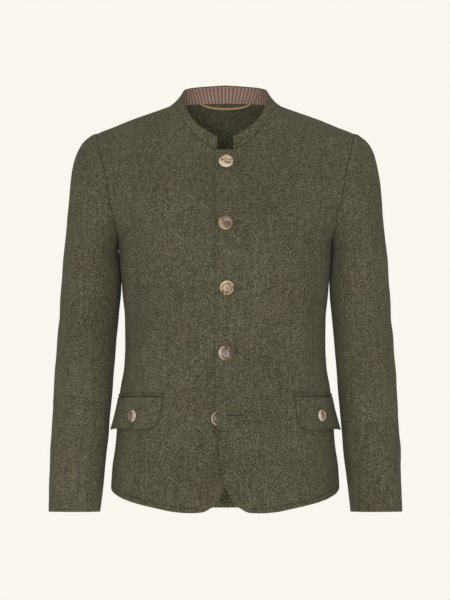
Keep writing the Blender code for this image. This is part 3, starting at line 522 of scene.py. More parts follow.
def panel_chart(face):
    """A grid of chart points between the four edges of a front or back."""
    seam = [(quarter_length(z, face), z) for z in np.linspace(NECK_SIDE, SHOULDER, 60)]
    top = np.vstack([collar_seam_chart(face), spread(seam, SHOULDER_STEPS + 1)[1:]])
    curve = hem_front if face == "front" else hem_back
    start = -EDGE[-1][1] / quarter_length(EDGE[-1][0], face) if face == "front" else 0.0
    hem = []
    for part in np.linspace(start, 1, 120):
        z = curve(part)
        hem.append((part * quarter_length(z, face), z))
    bottom = spread(hem, len(top))
    right = [armhole(turn, face) for turn in np.linspace(0, 180, ARM_STEPS + 1)]
    for z in np.linspace(UNDERARM, bottom[-1][1], SIDE_STEPS + 1)[1:]:
        right.append((quarter_length(z, face), z))
    right = np.array(right)
    run = line_run(right)
    rows = run / run[-1]
    left = []
    for v in rows:
        z = top[0][1] + v * (bottom[0][1] - top[0][1])
        left.append((-edge_past(z) if face == "front" else 0.0, z))
    left = np.array(left)
    left[0] = top[0]
    left[-1] = bottom[0]
    v = rows[:, None, None]
    c = np.linspace(0, 1, len(top))[None, :, None]
    w = c ** ARMHOLE_PULL
    grid = (1 - v) * top[None] + v * bottom[None] + (1 - w) * left[:, None] + w * right[:, None]
    grid -= (1 - w) * (1 - v) * top[0] + w * (1 - v) * top[-1]
    grid -= (1 - w) * v * bottom[0] + w * v * bottom[-1]
    grid[0] = top
    grid[-1] = bottom
    return grid


def soft_step(x):
    """The soft step of ease, for arrays."""
    x = np.clip(x, 0.0, 1.0)
    return x * x * (3 - 2 * x)


def lines_lift(table, panel, s, z):
    """How far folds or creases lift a panel at chart points."""
    total = np.zeros_like(s)
    for name, s1, z1, s2, z2, wide, high in table:
        if name != panel:
            continue
        run_s, run_z = s2 - s1, z2 - z1
        length = math.hypot(run_s, run_z)
        t = ((s - s1) * run_s + (z - z1) * run_z) / (length * length)
        off = np.abs(run_s * (z - z1) - run_z * (s - s1)) / length
        past = np.maximum(np.maximum(-t, t - 1), 0.0) * length
        total += high * np.exp(-(off / wide) ** 2) * np.exp(-(past / (1.6 * wide)) ** 2)
    return total


def lap_lift(panel, x, z):
    """Room between the two fronts where the left one lies over the right one."""
    near = 1 - soft_step((x - 0.020) / 0.034)
    low = soft_step((-0.430 - z) / 0.070) * (1 - soft_step((x - 0.030) / 0.080))
    if panel == "front_left":
        return LAP * near + LOW_LAP * low
    if panel == "front_right":
        return -LOW_LAP * low
    return np.zeros_like(x)


# Unevenness of the cloth as size and height of the waves
BROAD_WAVE = (0.050, 0.0007)
FINE_WAVE = (0.018, 0.00022)
ARM_BROAD_WAVE = (0.045, 0.0009)
ARM_FINE_WAVE = (0.016, 0.00025)
COLLAR_WAVE = (0.030, 0.0005)


def uneven(points, size, high, seed):
    """Slight unevenness of hand-pressed cloth at each point."""
    flat = points.reshape(-1, 3)
    shift = Vector((seed * 3.7, seed * 1.9, seed * 2.3))
    values = [noise.noise(Vector(p) / size + shift) for p in flat]
    return high * np.array(values).reshape(points.shape[:-1])


def facing(grid, inside_out=False):
    """Outward directions of a grid whose rows run down the cloth."""
    down = np.gradient(grid, axis=0)
    along = np.gradient(grid, axis=1)
    normal = np.cross(down, along)
    normal /= np.maximum(np.linalg.norm(normal, axis=2, keepdims=True), 1e-12)
    return -normal if inside_out else normal


SECTION_LEVELS = np.arange(-0.760, 0.0302, 0.002)
SECTION_PARTS = 420
section_tables = {}


def section_table(face):
    """Level sections of the body as even grids, made once for each face."""
    if face not in section_tables:
        parts = np.linspace(0.0, 1.0, SECTION_PARTS + 1)
        xs, ys, lengths = [], [], []
        for z in SECTION_LEVELS:
            x, y, run = quarter(z, face)
            xs.append(np.interp(parts * run[-1], run, x))
            ys.append(np.interp(parts * run[-1], run, y))
            lengths.append(run[-1])
        section_tables[face] = (np.array(xs), np.array(ys), np.array(lengths))
    return section_tables[face]


def on_body(s, z, face):
    """Points of the body at arrays of chart points."""
    xs, ys, lengths = section_table(face)
    s = np.asarray(s, dtype=float)
    z = np.asarray(z, dtype=float)
    length = np.interp(z, SECTION_LEVELS, lengths)
    level = (z - SECTION_LEVELS[0]) / (SECTION_LEVELS[1] - SECTION_LEVELS[0])
    level = np.clip(level, 0, len(SECTION_LEVELS) - 1.001)
    row = level.astype(int)
    part = np.clip(np.abs(s) / length, 0.0, 1.0) * SECTION_PARTS
    col = np.minimum(part.astype(int), SECTION_PARTS - 1)
    u, v = part - col, level - row
    found = []
    for table in (xs, ys):
        low = table[row, col] * (1 - u) + table[row, col + 1] * u
        high = table[row + 1, col] * (1 - u) + table[row + 1, col + 1] * u
        found.append(low * (1 - v) + high * v)
    x = found[0] * np.where(s < 0, -1.0, 1.0)
    y = found[1] * (-1.0 if face == "front" else 1.0)
    return np.stack([x, y, z], axis=-1)


def across_length(z, face):
    """The quarter's length at an array of heights."""
    return np.interp(z, SECTION_LEVELS, section_table(face)[2])


def cloth_surface(panel, s, z):
    """Outer points and directions of a front or back over a grid of chart
    points, on the +X side, with its folds and creases."""
    face = panel.split("_")[0]
    base = on_body(s, z, face)
    normal = facing(base, face == "back")
    length = across_length(z, face)
    side = soft_step((length - s) / 0.030)
    lift = lines_lift(FOLDS, panel, s, z) + lines_lift(CREASES, panel, s, z)
    lift *= side * soft_step((0.010 - z) / 0.080)
    seed = 1 + PANELS.index(panel)
    calm = side * soft_step((-z - 0.02) / 0.05)
    rough = uneven(base, *BROAD_WAVE, seed) + uneven(base, *FINE_WAVE, seed + 9)
    lift += rough * calm
    lift += lap_lift(panel, base[..., 0], z)
    return base + normal * lift[..., None], normal


def run_along(grid, axis):
    """Distance along each line of a grid from its first point."""
    step = np.linalg.norm(np.diff(grid, axis=axis), axis=2)
    zero = np.zeros_like(step.take([0], axis=axis))
    return np.concatenate([zero, np.cumsum(step, axis=axis)], axis=axis)


EDGE_LINE = 0.0013           # distance from an edge of the points that keep it crisp


def insert_line(arrays, near, axis):
    """A new line of points close inside one edge of each grid."""
    grid = arrays[0]
    first, second = (0, 1) if near == 0 else (-1, -2)
    edge = grid.take(first, axis=axis)
    inner = grid.take(second, axis=axis)
    gap = np.linalg.norm(inner - edge, axis=-1)
    part = np.clip(EDGE_LINE / np.maximum(gap, 1e-9), 0.05, 0.6)[:, None]
    made = []
    for array in arrays:
        a = array.take(first, axis=axis)
        b = array.take(second, axis=axis)
        line = a * (1 - part) + b * part
        where = 1 if near == 0 else array.shape[axis] - 1
        made.append(np.insert(array, where, line, axis=axis))
    return made


RIM_STEPS = (45.0, 90.0, 135.0)
RIM_BULGE = 0.42             # roundness of a free edge, in parts of the wall
SEAM_DIP = 0.12              # how deep a seam edge sinks, in parts of the wall
FAR = 0.5                    # a distance that no seam or hem shading reaches
SEAM_RUN = 3                 # places of the values that each point carries
# Place of the value that marks the inner side, which the wool paints lighter
INNER_SIDE = 4


def seam_distance(grid, rims):
    """Distance of each point of a grid from its upper and lower seams, and from a first edge that is a line.
    The wool paints shade on points near these edges."""
    found = np.full(grid.shape[:2], FAR)
    run = run_along(grid, 0)
    if rims["top"] == "seam":
        found = np.minimum(found, run)
    if rims["bottom"] == "seam":
        found = np.minimum(found, run[-1:] - run)
    if rims["first"] == "line":
        found = np.minimum(found, run_along(grid, 1))
    return found


def border(rows, cols):
    """Row and column of each point round a grid, from its first corner."""
    return ([(0, i) for i in range(cols)] + [(j, cols - 1) for j in range(1, rows)]
            + [(rows - 1, i) for i in range(cols - 2, -1, -1)]
            + [(j, 0) for j in range(rows - 2, 0, -1)])


def shell_faces(rows, cols):
    """Faces of a shell: its outer side, its inner side and the rim's rings."""
    layer = rows * cols
    index = np.arange(layer).reshape(rows, cols)
    a, b = index[:-1, :-1], index[:-1, 1:]
    c, d = index[1:, 1:], index[1:, :-1]
    faces = np.stack([a, d, c, b], axis=-1).reshape(-1, 4).tolist()
    faces += (np.stack([a, b, c, d], axis=-1).reshape(-1, 4) + layer).tolist()
    outside = [j * cols + i for j, i in border(rows, cols)]
    count = len(outside)
    rings = [outside]
    for k in range(len(RIM_STEPS)):
        rings.append([2 * layer + k * count + n for n in range(count)])
    rings.append([layer + place for place in outside])
    for low, high in zip(rings[:-1], rings[1:]):
        for n in range(count):
            m = (n + 1) % count
            faces.append([low[n], low[m], high[m], high[n]])
    return faces


def cloth_wall(name, outer, normal, wall, rims, material, mirrored=False, flip=False, edge=None,
               uv=None, shaded_rim=False):
    """A thin shell with rounded free edges and slightly sunk seam edges. rims says free, seam or line (a
    seam along the first edge) for each of the four edges; the wool paints shade along top and bottom seams
    and along a line. shaded_rim paints that seam shade over the whole rim as well."""
    if uv is None:
        across = run_along(outer, 1)
        down = run_along(outer, 0)
        uv = np.stack([across - across[:, :1], down], axis=2)
    if edge is None:
        edge = np.full(outer.shape[:2], FAR)
    extra = np.concatenate([uv, edge[..., None]], axis=2)
    arrays = [outer, normal, extra]
    for near, axis in ((0, 0), (1, 0), (0, 1), (1, 1)):
        arrays = insert_line(arrays, near, axis)
    outer, normal, extra = [a.copy() for a in arrays]
    extra = np.concatenate([extra, seam_distance(outer, rims)[..., None]], axis=2)
    rows, cols = outer.shape[:2]
    inner = outer - normal * wall
    bulge = np.zeros_like(outer)
    sides = (("top", (0, slice(None)), (1, slice(None))),
             ("bottom", (rows - 1, slice(None)), (rows - 2, slice(None))),
             ("first", (slice(None), 0), (slice(None), 1)),
             ("last", (slice(None), cols - 1), (slice(None), cols - 2)))
    for side, at, inside in sides:
        if rims[side] == "free":
            out = outer[at] - outer[inside]
            out /= np.maximum(np.linalg.norm(out, axis=1, keepdims=True), 1e-12)
            bulge[at] += out * wall * RIM_BULGE
    outer -= bulge
    inner -= bulge
    for side, at, inside in sides:
        if rims[side] != "free":
            outer[at] -= normal[at] * wall * SEAM_DIP
    if mirrored:
        for grid in (outer, inner, bulge):
            grid[..., 0] *= -1
    points = [outer.reshape(-1, 3), inner.reshape(-1, 3)]
    extra = np.concatenate([extra, np.zeros((rows, cols, 1))], axis=2)
    values = extra.reshape(-1, INNER_SIDE + 1)
    data = [values, values + np.eye(INNER_SIDE + 1)[INNER_SIDE]]
    at = tuple(np.array(border(rows, cols)).T)
    for degrees in RIM_STEPS:
        angle = math.radians(degrees)
        mix = (1 + math.cos(angle)) / 2
        points.append(outer[at] * mix + inner[at] * (1 - mix) + bulge[at] * math.sin(angle))
        data.append(extra[at].copy())
        data[-1][:, INNER_SIDE] = 1 - mix
        # Painted shadow: with shaded_rim the rim counts as a seam, so the wool darkens it all round
        if shaded_rim:
            data[-1][:, SEAM_RUN] = 0.0
    faces = shell_faces(rows, cols)
    if mirrored != flip:
        faces = [f[::-1] for f in faces]
    return finished_mesh(name, np.concatenate(points), faces, material, np.concatenate(data))


LOOK = "look_"               # goes before the name of the solid that a piece covers


def finished_mesh(name, points, faces, material, data=None):
    """A smooth object in the scene, with cloth coordinates where given."""
    mesh = bpy.data.meshes.new(name)
    mesh.from_pydata([tuple(p) for p in points], [], faces)
    mesh.update()
    if data is not None:
        layer = mesh.uv_layers.new(name="cloth")
        where = np.empty(len(mesh.loops), dtype=np.int32)
        mesh.loops.foreach_get("vertex_index", where)
        layer.data.foreach_set("uv", np.ascontiguousarray(data[where, :2]).ravel())
        for label, number in (("edge_run", 2), ("seam_run", SEAM_RUN), ("inner_side", INNER_SIDE)):
            run = mesh.attributes.new(label, "FLOAT", "POINT")
            run.data.foreach_set("value", np.ascontiguousarray(data[:, number]))
    mesh.materials.append(material)
    mesh.shade_smooth()
    obj = bpy.data.objects.new(LOOK + name, mesh)
    bpy.context.scene.collection.objects.link(obj)
    return obj


sleeve_across, sleeve_along, sleeve_half, sleeve_deep = curves(SLEEVE, SLEEVE_COLUMNS, "height", "across",
                                                               "along", "half", "deep")


def arm_section(turn, z):
    """A point of the sleeve's level section. turn 0 is outside, 90 is front."""
    angle = math.radians(turn)
    x = sleeve_across(z) + sleeve_half(z) * math.cos(angle)
    y = sleeve_along(z) - sleeve_deep(z) * math.sin(angle)
    return np.array([x, y, z])


UP_AND_OUT = np.array([0.30, 0.0, 0.27])
SHOULDER_WAY = np.array([0.9, 0.0, -0.42])
SEAM_OVERLAP = 0.00060
SEAM_PROUD = 0.00030


def arm_start(turn):
    """Where the sleeve meets the armhole, a little proud of the body."""
    face = "front" if turn >= 0 else "back"
    s, z = armhole(abs(turn), face)
    near = armhole(abs(turn) + (2.0 if abs(turn) < 178 else -2.0), face)
    here = body_point(s, z, face)
    normal = body_normal(s, z, face)
    tangent = unit(body_point(near[0], near[1], face) - here)
    away = unit(np.cross(normal, tangent))
    if np.dot(away, UP_AND_OUT) < 0:
        away = -away
    if abs(turn) >= 178:
        away = np.array([0.0, 0.0, 1.0])
    elif abs(turn) <= 2:
        away = unit(SHOULDER_WAY)
    return here - away * SEAM_OVERLAP + normal * SEAM_PROUD


def sleeve_point(turn, step):
    """A point of the sleeve's outer side. step is 0 to 1 on the cap, then the
    height of a level below it as a negative number."""
    if step < 0:
        low = ease((-0.56 - step) / 0.13)
        return arm_section(turn, step + CUFF_SLANT * math.sin(math.radians(turn)) * low)
    start = arm_start(turn)
    end = arm_section(turn, SLEEVE_TOP)
    span = np.linalg.norm(end - start)
    angle = math.radians(turn)
    up = (1 + math.cos(angle)) / 2
    leave = unit(np.array([0.25 + 0.65 * up, -0.18 * math.sin(angle), -0.97 + 0.72 * up]))
    arrive = unit(np.array([-0.01 + 0.09 * math.cos(angle) + 0.06 * up ** 3, 0.0, -1.0]))
    p1 = start + leave * span * (0.226 + 0.037 * up)
    p2 = end - arrive * span * (0.40 + 0.14 * up)
    t = step
    return ((1 - t) ** 3 * start + 3 * (1 - t) ** 2 * t * p1
            + 3 * (1 - t) * t * t * p2 + t ** 3 * end)


panel_grids = {}


def panel_grid(panel):
    """Chart, outer points and directions of a front or back, kept once made."""
    if panel not in panel_grids:
        chart = panel_chart(panel.split("_")[0])
        outer, normal = cloth_surface(panel, chart[..., 0], chart[..., 1])
        panel_grids[panel] = (chart, outer, normal)
    return panel_grids[panel]


def panel_piece(panel, material):
    """A front or back as a thin shell."""
    chart, outer, normal = panel_grid(panel)
    across = run_along(outer, 1)
    down = run_along(outer, 0)
    edge = down[-1][None, :] - down
    # On a back the centre edge is a line, so the wool paints seam shade along it, as along the top seam
    rims = {"top": "seam", "bottom": "free", "first": "line", "last": "seam"}
    if panel.startswith("front"):
        edge = edge + FAR * (1 - soft_step(across / STITCH_END))
        rims["first"] = "free"
    uv = np.stack([chart[..., 0], chart[..., 1]], axis=2)
    return cloth_wall(panel, outer, normal, WALL, rims, material, mirrored=panel.endswith("right"),
                      flip=panel.startswith("back"), edge=edge, uv=uv)


CAP_ROWS = 40
ARM_ROWS = 84
TOP_COLUMNS = 64
UNDER_COLUMNS = 22
CUFF_SLANT = 0.0059          # how much the cuff's front lies lower than its middle
CAP_FULLNESS = 0.0010        # ease of the sleeve head over the armhole seam
INNER_FULLNESS = 0.0017      # cloth gathered under the arm
INNER_FULL_HEIGHT = -0.272


def arm_lift(table, sleeve, turn, z):
    """How far folds or creases lift a sleeve."""
    total = np.zeros_like(z)
    for name, at, height, span, drop, wide, high in table:
        if name != sleeve:
            continue
        part = (turn - at) / span
        off = (z - (height - drop * part)) / wide
        total += high * np.exp(-off ** 2) * np.exp(-(1.3 * part) ** 2)
    return total


sleeve_bases = {}


def sleeve_base(half):
    """Points of one half of a sleeve without its folds, and the turns."""
    if half not in sleeve_bases:
        if half == "top":
            turns = np.linspace(FRONT_SLEEVE_SEAM, -BACK_SLEEVE_SEAM, TOP_COLUMNS)
        else:
            turns = np.linspace(-BACK_SLEEVE_SEAM, FRONT_SLEEVE_SEAM - 360.0, UNDER_COLUMNS)
            turns = np.where(turns < -180.0, turns + 360.0, turns)
        steps = list(np.linspace(0, 1, CAP_ROWS)) + list(np.linspace(SLEEVE_TOP, CUFF, ARM_ROWS)[1:])
        grid = np.array([[sleeve_point(turn, step) for turn in turns] for step in steps])
        sleeve_bases[half] = (grid, turns, np.array(steps))
    return sleeve_bases[half]


def sleeve_piece(sleeve, half, material):
    """The top or under half of a sleeve as a thin shell."""
    grid, turns, steps = sleeve_base(half)
    normal = facing(grid)
    turn = np.broadcast_to(turns[None, :], grid.shape[:2])
    z = grid[..., 2]
    outside = np.cos(np.radians(turn))
    lift = arm_lift(ARM_FOLDS, sleeve, turn, z) + arm_lift(ARM_CREASES, sleeve, turn, z)
    seed = 21 if sleeve == "sleeve_left" else 31
    lift += uneven(grid, *ARM_BROAD_WAVE, seed) + uneven(grid, *ARM_FINE_WAVE, seed + 5)
    reach = np.where(steps < 0, 1.0, soft_step((steps - 0.04) / 0.34))
    lift = lift * reach[:, None]
    head = np.exp(-((steps - 0.045) / 0.035) ** 2) * (steps >= 0)
    lift = lift + CAP_FULLNESS * head[:, None] * np.clip(outside, 0, 1)
    inside = np.clip(-outside, 0, 1) ** 2
    lift = lift + INNER_FULLNESS * inside * np.exp(-((z - INNER_FULL_HEIGHT) / 0.028) ** 2)
    outer = grid + normal * lift[..., None]
    # The wool paints seam shade along the top seam round the armhole
    rims = {"top": "seam", "bottom": "free", "first": "seam", "last": "seam"}
    return cloth_wall(sleeve + "_" + half, outer, normal, WALL, rims, material,
                      mirrored=sleeve == "sleeve_right")


COLLAR_ROWS = 12
COLLAR_LIFT = -0.0006
COLLAR_BULGE = 0.0010


def collar_seam(side):
    """The collar seam of one side as points, from the front end to the back."""
    front = panel_grid("front_" + side)[1][0, CORNER_STEPS:CORNER_STEPS + NECK_STEPS + 1]
    back = panel_grid("back_" + side)[1][0, :NECK_STEPS + 1]
    return list(front) + list(back[-2::-1])


def collar_surface(first, last):
    """The collar's outer side between two parts of its height."""
    across, along, height = curves(COLLAR, COLLAR_COLUMNS, "part", "across", "along", "height")
    lines = []
    for side, sign in (("left", 1.0), ("right", -1.0)):
        seam = collar_seam(side)
        run = line_run(seam)
        line = []
        for low, t in zip(seam, run / run[-1]):
            top = np.array([across(t), along(t), height(t)])
            if side == "left":
                top = top + np.array([0.0, -LAP * 0.8 * (1 - ease(t / 0.14)), 0.0])
            low = low + unit(top - low) * COLLAR_LIFT
            line.append((top * (sign, 1, 1), low * (sign, 1, 1)))
        lines.append(line)
    ring = lines[0] + lines[1][-2::-1]
    top = np.array([a for a, b in ring])
    low = np.array([b for a, b in ring])
    v = np.linspace(first, last, COLLAR_ROWS)[:, None, None]
    grid = top[None] * (1 - v) + low[None] * v
    side = np.gradient(grid, axis=1)
    fall = np.broadcast_to(low - top, grid.shape)
    normal = np.cross(fall, side)
    normal /= np.linalg.norm(normal, axis=2, keepdims=True)
    lift = COLLAR_BULGE * 4 * v * (1 - v)
    lift = lift + uneven(grid, *COLLAR_WAVE, 41)[..., None] * 4 * v * (1 - v)
    return grid + normal * lift, normal


def collar_piece(material):
    """The collar's outer cloth as a thin shell."""
    outer, normal = collar_surface(0.0, 1.0)
    # The wool paints seam shade along the bottom seam of the collar
    rims = {"top": "free", "bottom": "seam", "first": "free", "last": "free"}
    return cloth_wall("collar", outer, normal, WALL, rims, material)


def lining_piece(material):
    """The striped band just inside the collar."""
    outer, normal = collar_surface(0.06, 0.985)
    outer = outer[:, 1:-1] - normal[:, 1:-1] * (WALL + SEAM_GAP)
    normal = normal[:, 1:-1]
    rims = {"top": "free", "bottom": "free", "first": "free", "last": "free"}
    across = run_along(outer, 1)[COLLAR_ROWS // 2]
    down = run_along(outer, 0)
    uv = np.stack([np.broadcast_to(across, down.shape), down], axis=2)
    return cloth_wall("collar_lining", outer, normal, LINING_WALL, rims, material, uv=uv)


def pocket_value(side, name):
    """One value of the pocket table."""
    row = [row for row in POCKETS if row[0] == side][0]
    return row[POCKET_COLUMNS.index(name)]


def pocket_s(side, part, z):
    """Distance along the section at a part of the pocket's length."""
    return s_from_x(pocket_value(side, "across"), z, "front") + pocket_value(side, "length") * part


FLAP_ROUND = 0.0220
FLAP_LEAN = 0.0080
FLAP_CLEAR = 0.00040         # room between the flap's top edge and the front
FLAP_STAND = 0.0030          # how far its lower edge stands off
FLAP_CORNER_STAND = 0.0068   # and how much further its outer corner does
POCKET_PARTS = np.linspace(0, 1, 50)
FLAP_FALLS = np.sin(np.linspace(0, math.pi / 2, 22))


def flap_inset(fall):
    """How far the flap's front edge lies behind its upper corner."""
    return FLAP_LEAN * fall + FLAP_ROUND * (1 - math.sqrt(max(1 - fall ** 6, 0.0)))


def flap_surface(side, parts, falls):
    """The flap's inner side as a grid of points, with directions."""
    s = np.zeros((len(falls), len(parts)))
    z = np.zeros_like(s)
    lift = np.zeros_like(s)
    for j, fall in enumerate(falls):
        h = FLAP_TOP + (pocket_value(side, "bottom") - FLAP_TOP) * fall
        first = pocket_s(side, 0.0, h) + flap_inset(fall)
        last = pocket_s(side, 1.0, h)
        for i, part in enumerate(parts):
            s[j, i] = first + (last - first) * part
            z[j, i] = h - POCKET_DROP * part * part
            stand = FLAP_STAND + FLAP_CORNER_STAND * ease((part - 0.55) / 0.45)
            lift[j, i] = FLAP_CLEAR + stand * max(fall, 0.0) ** 1.4
    point, normal = cloth_surface("front_" + side, s, z)
    wave = 0.0006 * np.sin(np.array(parts)[None, :] * 9.0 + 1.0) * np.array(falls)[:, None]
    return point + normal * (lift + wave)[..., None], normal


def pocket_pieces(name, material):
    """The welt and flap of one side."""
    panel = "front_" + name
    mirrored = name == "right"
    heights = np.linspace(WELT_TOP, WELT_BOTTOM, 5)
    s = np.array([[pocket_s(name, part, h) for part in POCKET_PARTS] for h in heights])
    z = heights[:, None] - POCKET_DROP * POCKET_PARTS[None, :] ** 2
    point, normal = cloth_surface(panel, s, z)
    # Painted shadow: the wool darkens the welt's top and bottom seams and its whole rim
    rims = {"top": "seam", "bottom": "seam", "first": "free", "last": "free"}
    welt = cloth_wall("welt_" + name, point + normal * (SEAM_GAP + WELT_WALL), normal, WELT_WALL, rims,
                      material, mirrored=mirrored, shaded_rim=True)
    low, normal = flap_surface(name, POCKET_PARTS, FLAP_FALLS)
    outer = low + normal * FLAP_WALL
    normal = facing(outer)
    # Painted shadow: the wool darkens the flap's top seam and its whole rim, standing in for the shadow
    # under its edges
    rims = {"top": "seam", "bottom": "free", "first": "free", "last": "free"}
    flap = cloth_wall("flap_" + name, outer, normal, FLAP_WALL, rims, material, mirrored=mirrored,
                      shaded_rim=True)
    return welt, flap


# Half of a button's profile as radius and height, in parts of the full size
BUTTON_PROFILE = (
    (0.70, 0.00),
    (0.88, 0.10),
    (0.97, 0.30),
    (1.00, 0.52),
    (0.98, 0.74),
    (0.92, 0.92),
    (0.84, 1.00),
    (0.77, 0.98),
    (0.70, 0.86),
    (0.60, 0.76),
    (0.42, 0.70),
    (0.20, 0.68),
)
BUTTON_SIDES = 48
BUTTON_MIDDLE = 0.67         # height of the sunk middle, in parts of the button's
HOLE_OUT = 0.20
HOLE_WIDE = 0.085
HOLE_PROFILE = ((1.25, 0.655), (1.15, 0.72), (0.85, 0.70), (0.70, 0.62))
HOLE_SIDES = 14
THREAD_SHIFTS = (-0.028, 0.0, 0.028)
THREAD_WIDE = 0.020
THREAD_STEPS = 9
THREAD_SIDES = 6
# Turn of each button on its thread, in degrees
BUTTON_TILTS = {"button_1": 74.0, "button_2": 38.0, "button_3": 88.0, "button_4": 96.0, "button_5": 81.0,
                "flap_button_left": 80.0, "flap_button_right": 101.0}


def circle(sides):
    """Cosine and sine of even turns round a circle."""
    turns = [2 * math.pi * k / sides for k in range(sides)]
    return [(math.cos(turn), math.sin(turn)) for turn in turns]


def tube_faces(first, rings, sides):
    """Faces between rings of points that follow one another in a list."""
    faces = []
    for a in range(first, first + (rings - 1) * sides, sides):
        for k in range(sides):
            n = (k + 1) % sides
            faces.append((a + k, a + n, a + sides + n, a + sides + k))
    return faces


def button_mesh(name, radius, height, material, thread):
    """A turned horn button with two sewn holes, its back on the origin."""
    points = [(0.0, 0.0, 0.0)]
    for part, up in BUTTON_PROFILE:
        points += [(radius * part * c, radius * part * s, height * up) for c, s in circle(BUTTON_SIDES)]
    points.append((0.0, 0.0, height * BUTTON_MIDDLE))
    faces = tube_faces(1, len(BUTTON_PROFILE), BUTTON_SIDES)
    top = len(points) - 1
    for k in range(BUTTON_SIDES):
        n = (k + 1) % BUTTON_SIDES
        faces.append((0, 1 + n, 1 + k))
        faces.append((top - BUTTON_SIDES + k, top - BUTTON_SIDES + n, top))
    body = len(faces)
    for way in (-1.0, 1.0):
        first = len(points)
        for part, up in HOLE_PROFILE:
            wide = radius * HOLE_WIDE * part
            middle = way * HOLE_OUT * radius
            points += [(middle + wide * c, wide * s, height * up) for c, s in circle(HOLE_SIDES)]
        faces += tube_faces(first, len(HOLE_PROFILE), HOLE_SIDES)
        faces.append(tuple(range(len(points) - HOLE_SIDES, len(points))))
    for shift in THREAD_SHIFTS:
        first = len(points)
        for t in np.linspace(0, 1, THREAD_STEPS):
            x = radius * HOLE_OUT * (2 * t - 1)
            z = height * (0.66 + 0.20 * math.sin(math.pi * t))
            points += [(x, radius * (shift + THREAD_WIDE * c), z + radius * THREAD_WIDE * s)
                       for c, s in circle(THREAD_SIDES)]
        faces += [face[::-1] for face in tube_faces(first, THREAD_STEPS, THREAD_SIDES)]
    obj = finished_mesh(name, points, faces, material)
    obj.data.materials.append(thread)
    numbers = [1 if i >= body else 0 for i in range(len(faces))]
    obj.data.polygons.foreach_set("material_index", numbers)
    return obj


def seat_button(obj, spots, mirrored, tilt, radius, thick=0.0):
    """Moves a button's points onto a patch of cloth, its back just clear, and
    keeps its flat places as the UV map cloth."""
    middle = spots[len(spots) // 2, len(spots) // 2]
    down = unit(spots[-1, len(spots) // 2] - spots[0, len(spots) // 2])
    along = unit(spots[len(spots) // 2, -1] - spots[len(spots) // 2, 0])
    normal = unit(np.cross(down, along))
    ahead = float(np.max((spots - middle) @ normal))
    base = middle + normal * (ahead + thick + SEAM_GAP)
    up = unit(np.cross(normal, along))
    points = np.empty(len(obj.data.vertices) * 3)
    obj.data.vertices.foreach_get("co", points)
    points = points.reshape(-1, 3)
    angle = math.radians(tilt)
    x = points[:, 0] * math.cos(angle) - points[:, 1] * math.sin(angle)
    y = points[:, 0] * math.sin(angle) + points[:, 1] * math.cos(angle)
    flat = np.column_stack([-x if mirrored else x, y]) / radius
    layer = obj.data.uv_layers.new(name="cloth")
    where = np.empty(len(obj.data.loops), dtype=np.int32)
    obj.data.loops.foreach_get("vertex_index", where)
    layer.data.foreach_set("uv", np.ascontiguousarray(flat[where]).ravel())
    placed = base + np.outer(x, along) + np.outer(y, up) + np.outer(points[:, 2], normal)
    if mirrored:
        placed[:, 0] *= -1
        obj.data.flip_normals()
    obj.data.vertices.foreach_set("co", placed.ravel())
    obj.data.update()


def cord_route(count):
    """The hanger loop's middle line, spread evenly."""
    across, inset, height = curves(LOOP, LOOP_COLUMNS, None, "across", "inset", "height")
    route = []
    for t in np.linspace(0, 1, 160):
        x, z = across(t), height(t)
        s = s_from_x(abs(x), z, "back")
        point = body_point(s, z, "back") - body_normal(s, z, "back") * (WALL + inset(t))
        route.append(point * (math.copysign(1.0, x), 1, 1))
    return spread(route, count)


CORD_RINGS = 150
PATH_POINTS = 48
CORD_SIDES = 24
CORD_STRANDS = 4
CORD_PITCH = 0.0105
CORD_END = 0.72              # radius of the rounded ends, in parts of the full one


def cord_mesh(material, rings):
    """A round braided cord: strands cross in both directions on a tube."""
    route = cord_route(rings)
    along = np.gradient(route, axis=0)
    along /= np.linalg.norm(along, axis=1, keepdims=True)
    run = line_run(route)
    points = []
    for i, (place, way) in enumerate(zip(route, along)):
        side = unit(np.cross(way, (0.0, 0.0, 1.0)))
        rise = np.cross(side, way)
        turn = math.pi * CORD_STRANDS * run[i] / CORD_PITCH
        for k, (c, s) in enumerate(circle(CORD_SIDES)):
            strand = 2 * math.pi * CORD_STRANDS * k / CORD_SIDES
            ridge = max(math.cos(strand + turn), math.cos(strand - turn))
            radius = CORD_DIAMETER / 2 * (0.965 + 0.045 * ridge)
            if i in (0, rings - 1):
                radius *= CORD_END
            points.append(place + side * radius * c + rise * radius * s)
    faces = [face[::-1] for face in tube_faces(0, rings, CORD_SIDES)]
    faces.append(tuple(range(CORD_SIDES)))
    faces.append(tuple(reversed(range((rings - 1) * CORD_SIDES, rings * CORD_SIDES))))
    data = [(run[i], k / CORD_SIDES, FAR, FAR, 0.0) for i in range(rings) for k in range(CORD_SIDES)]
    return finished_mesh("hanger_loop", points, faces, material, np.array(data)), float(run[-1])


# Sewing that shows, worked out on the cloth's own points
STITCH_INSET = 0.0100        # distance of the stitched line from the hem
STITCH_END = 0.030           # how far it stops short of the front edge
THREAD_LIFT = 0.00012
SLIT_LIFT = 0.00010
WHIP_LIFT = 0.00018
SLIT_STEP = 0.0010
WHIP_OFF = 0.00115           # distance of the whipped stitches from the slit
SLIT_STITCH = 0.0022
# Painted shade: the open slit of the lowest buttonhole is drawn as near-black thread
SLIT_SHADE = 0.22             # tone of the open slit, in parts of the thread's
UPPER_SLIT = 0.0006          # widths of the slits and of the thread
LOWER_SLIT = 0.0010
EDGE_THREAD = 0.00055
WHIP_STITCH = 0.0019
WHIP_THREAD = 0.00062
EYE_RADIUS = 0.0013
EYE_REACH = 0.0005

# Buttonholes of the left front: across at both ends, and height
BUTTONHOLES = (
    (0.0105, 0.0262, -0.1026),
    (0.0100, 0.0262, -0.2052),
    (0.0125, 0.0285, -0.3120),
    (0.0100, 0.0262, -0.4190),
    (0.0035, 0.0290, -0.5224),
)


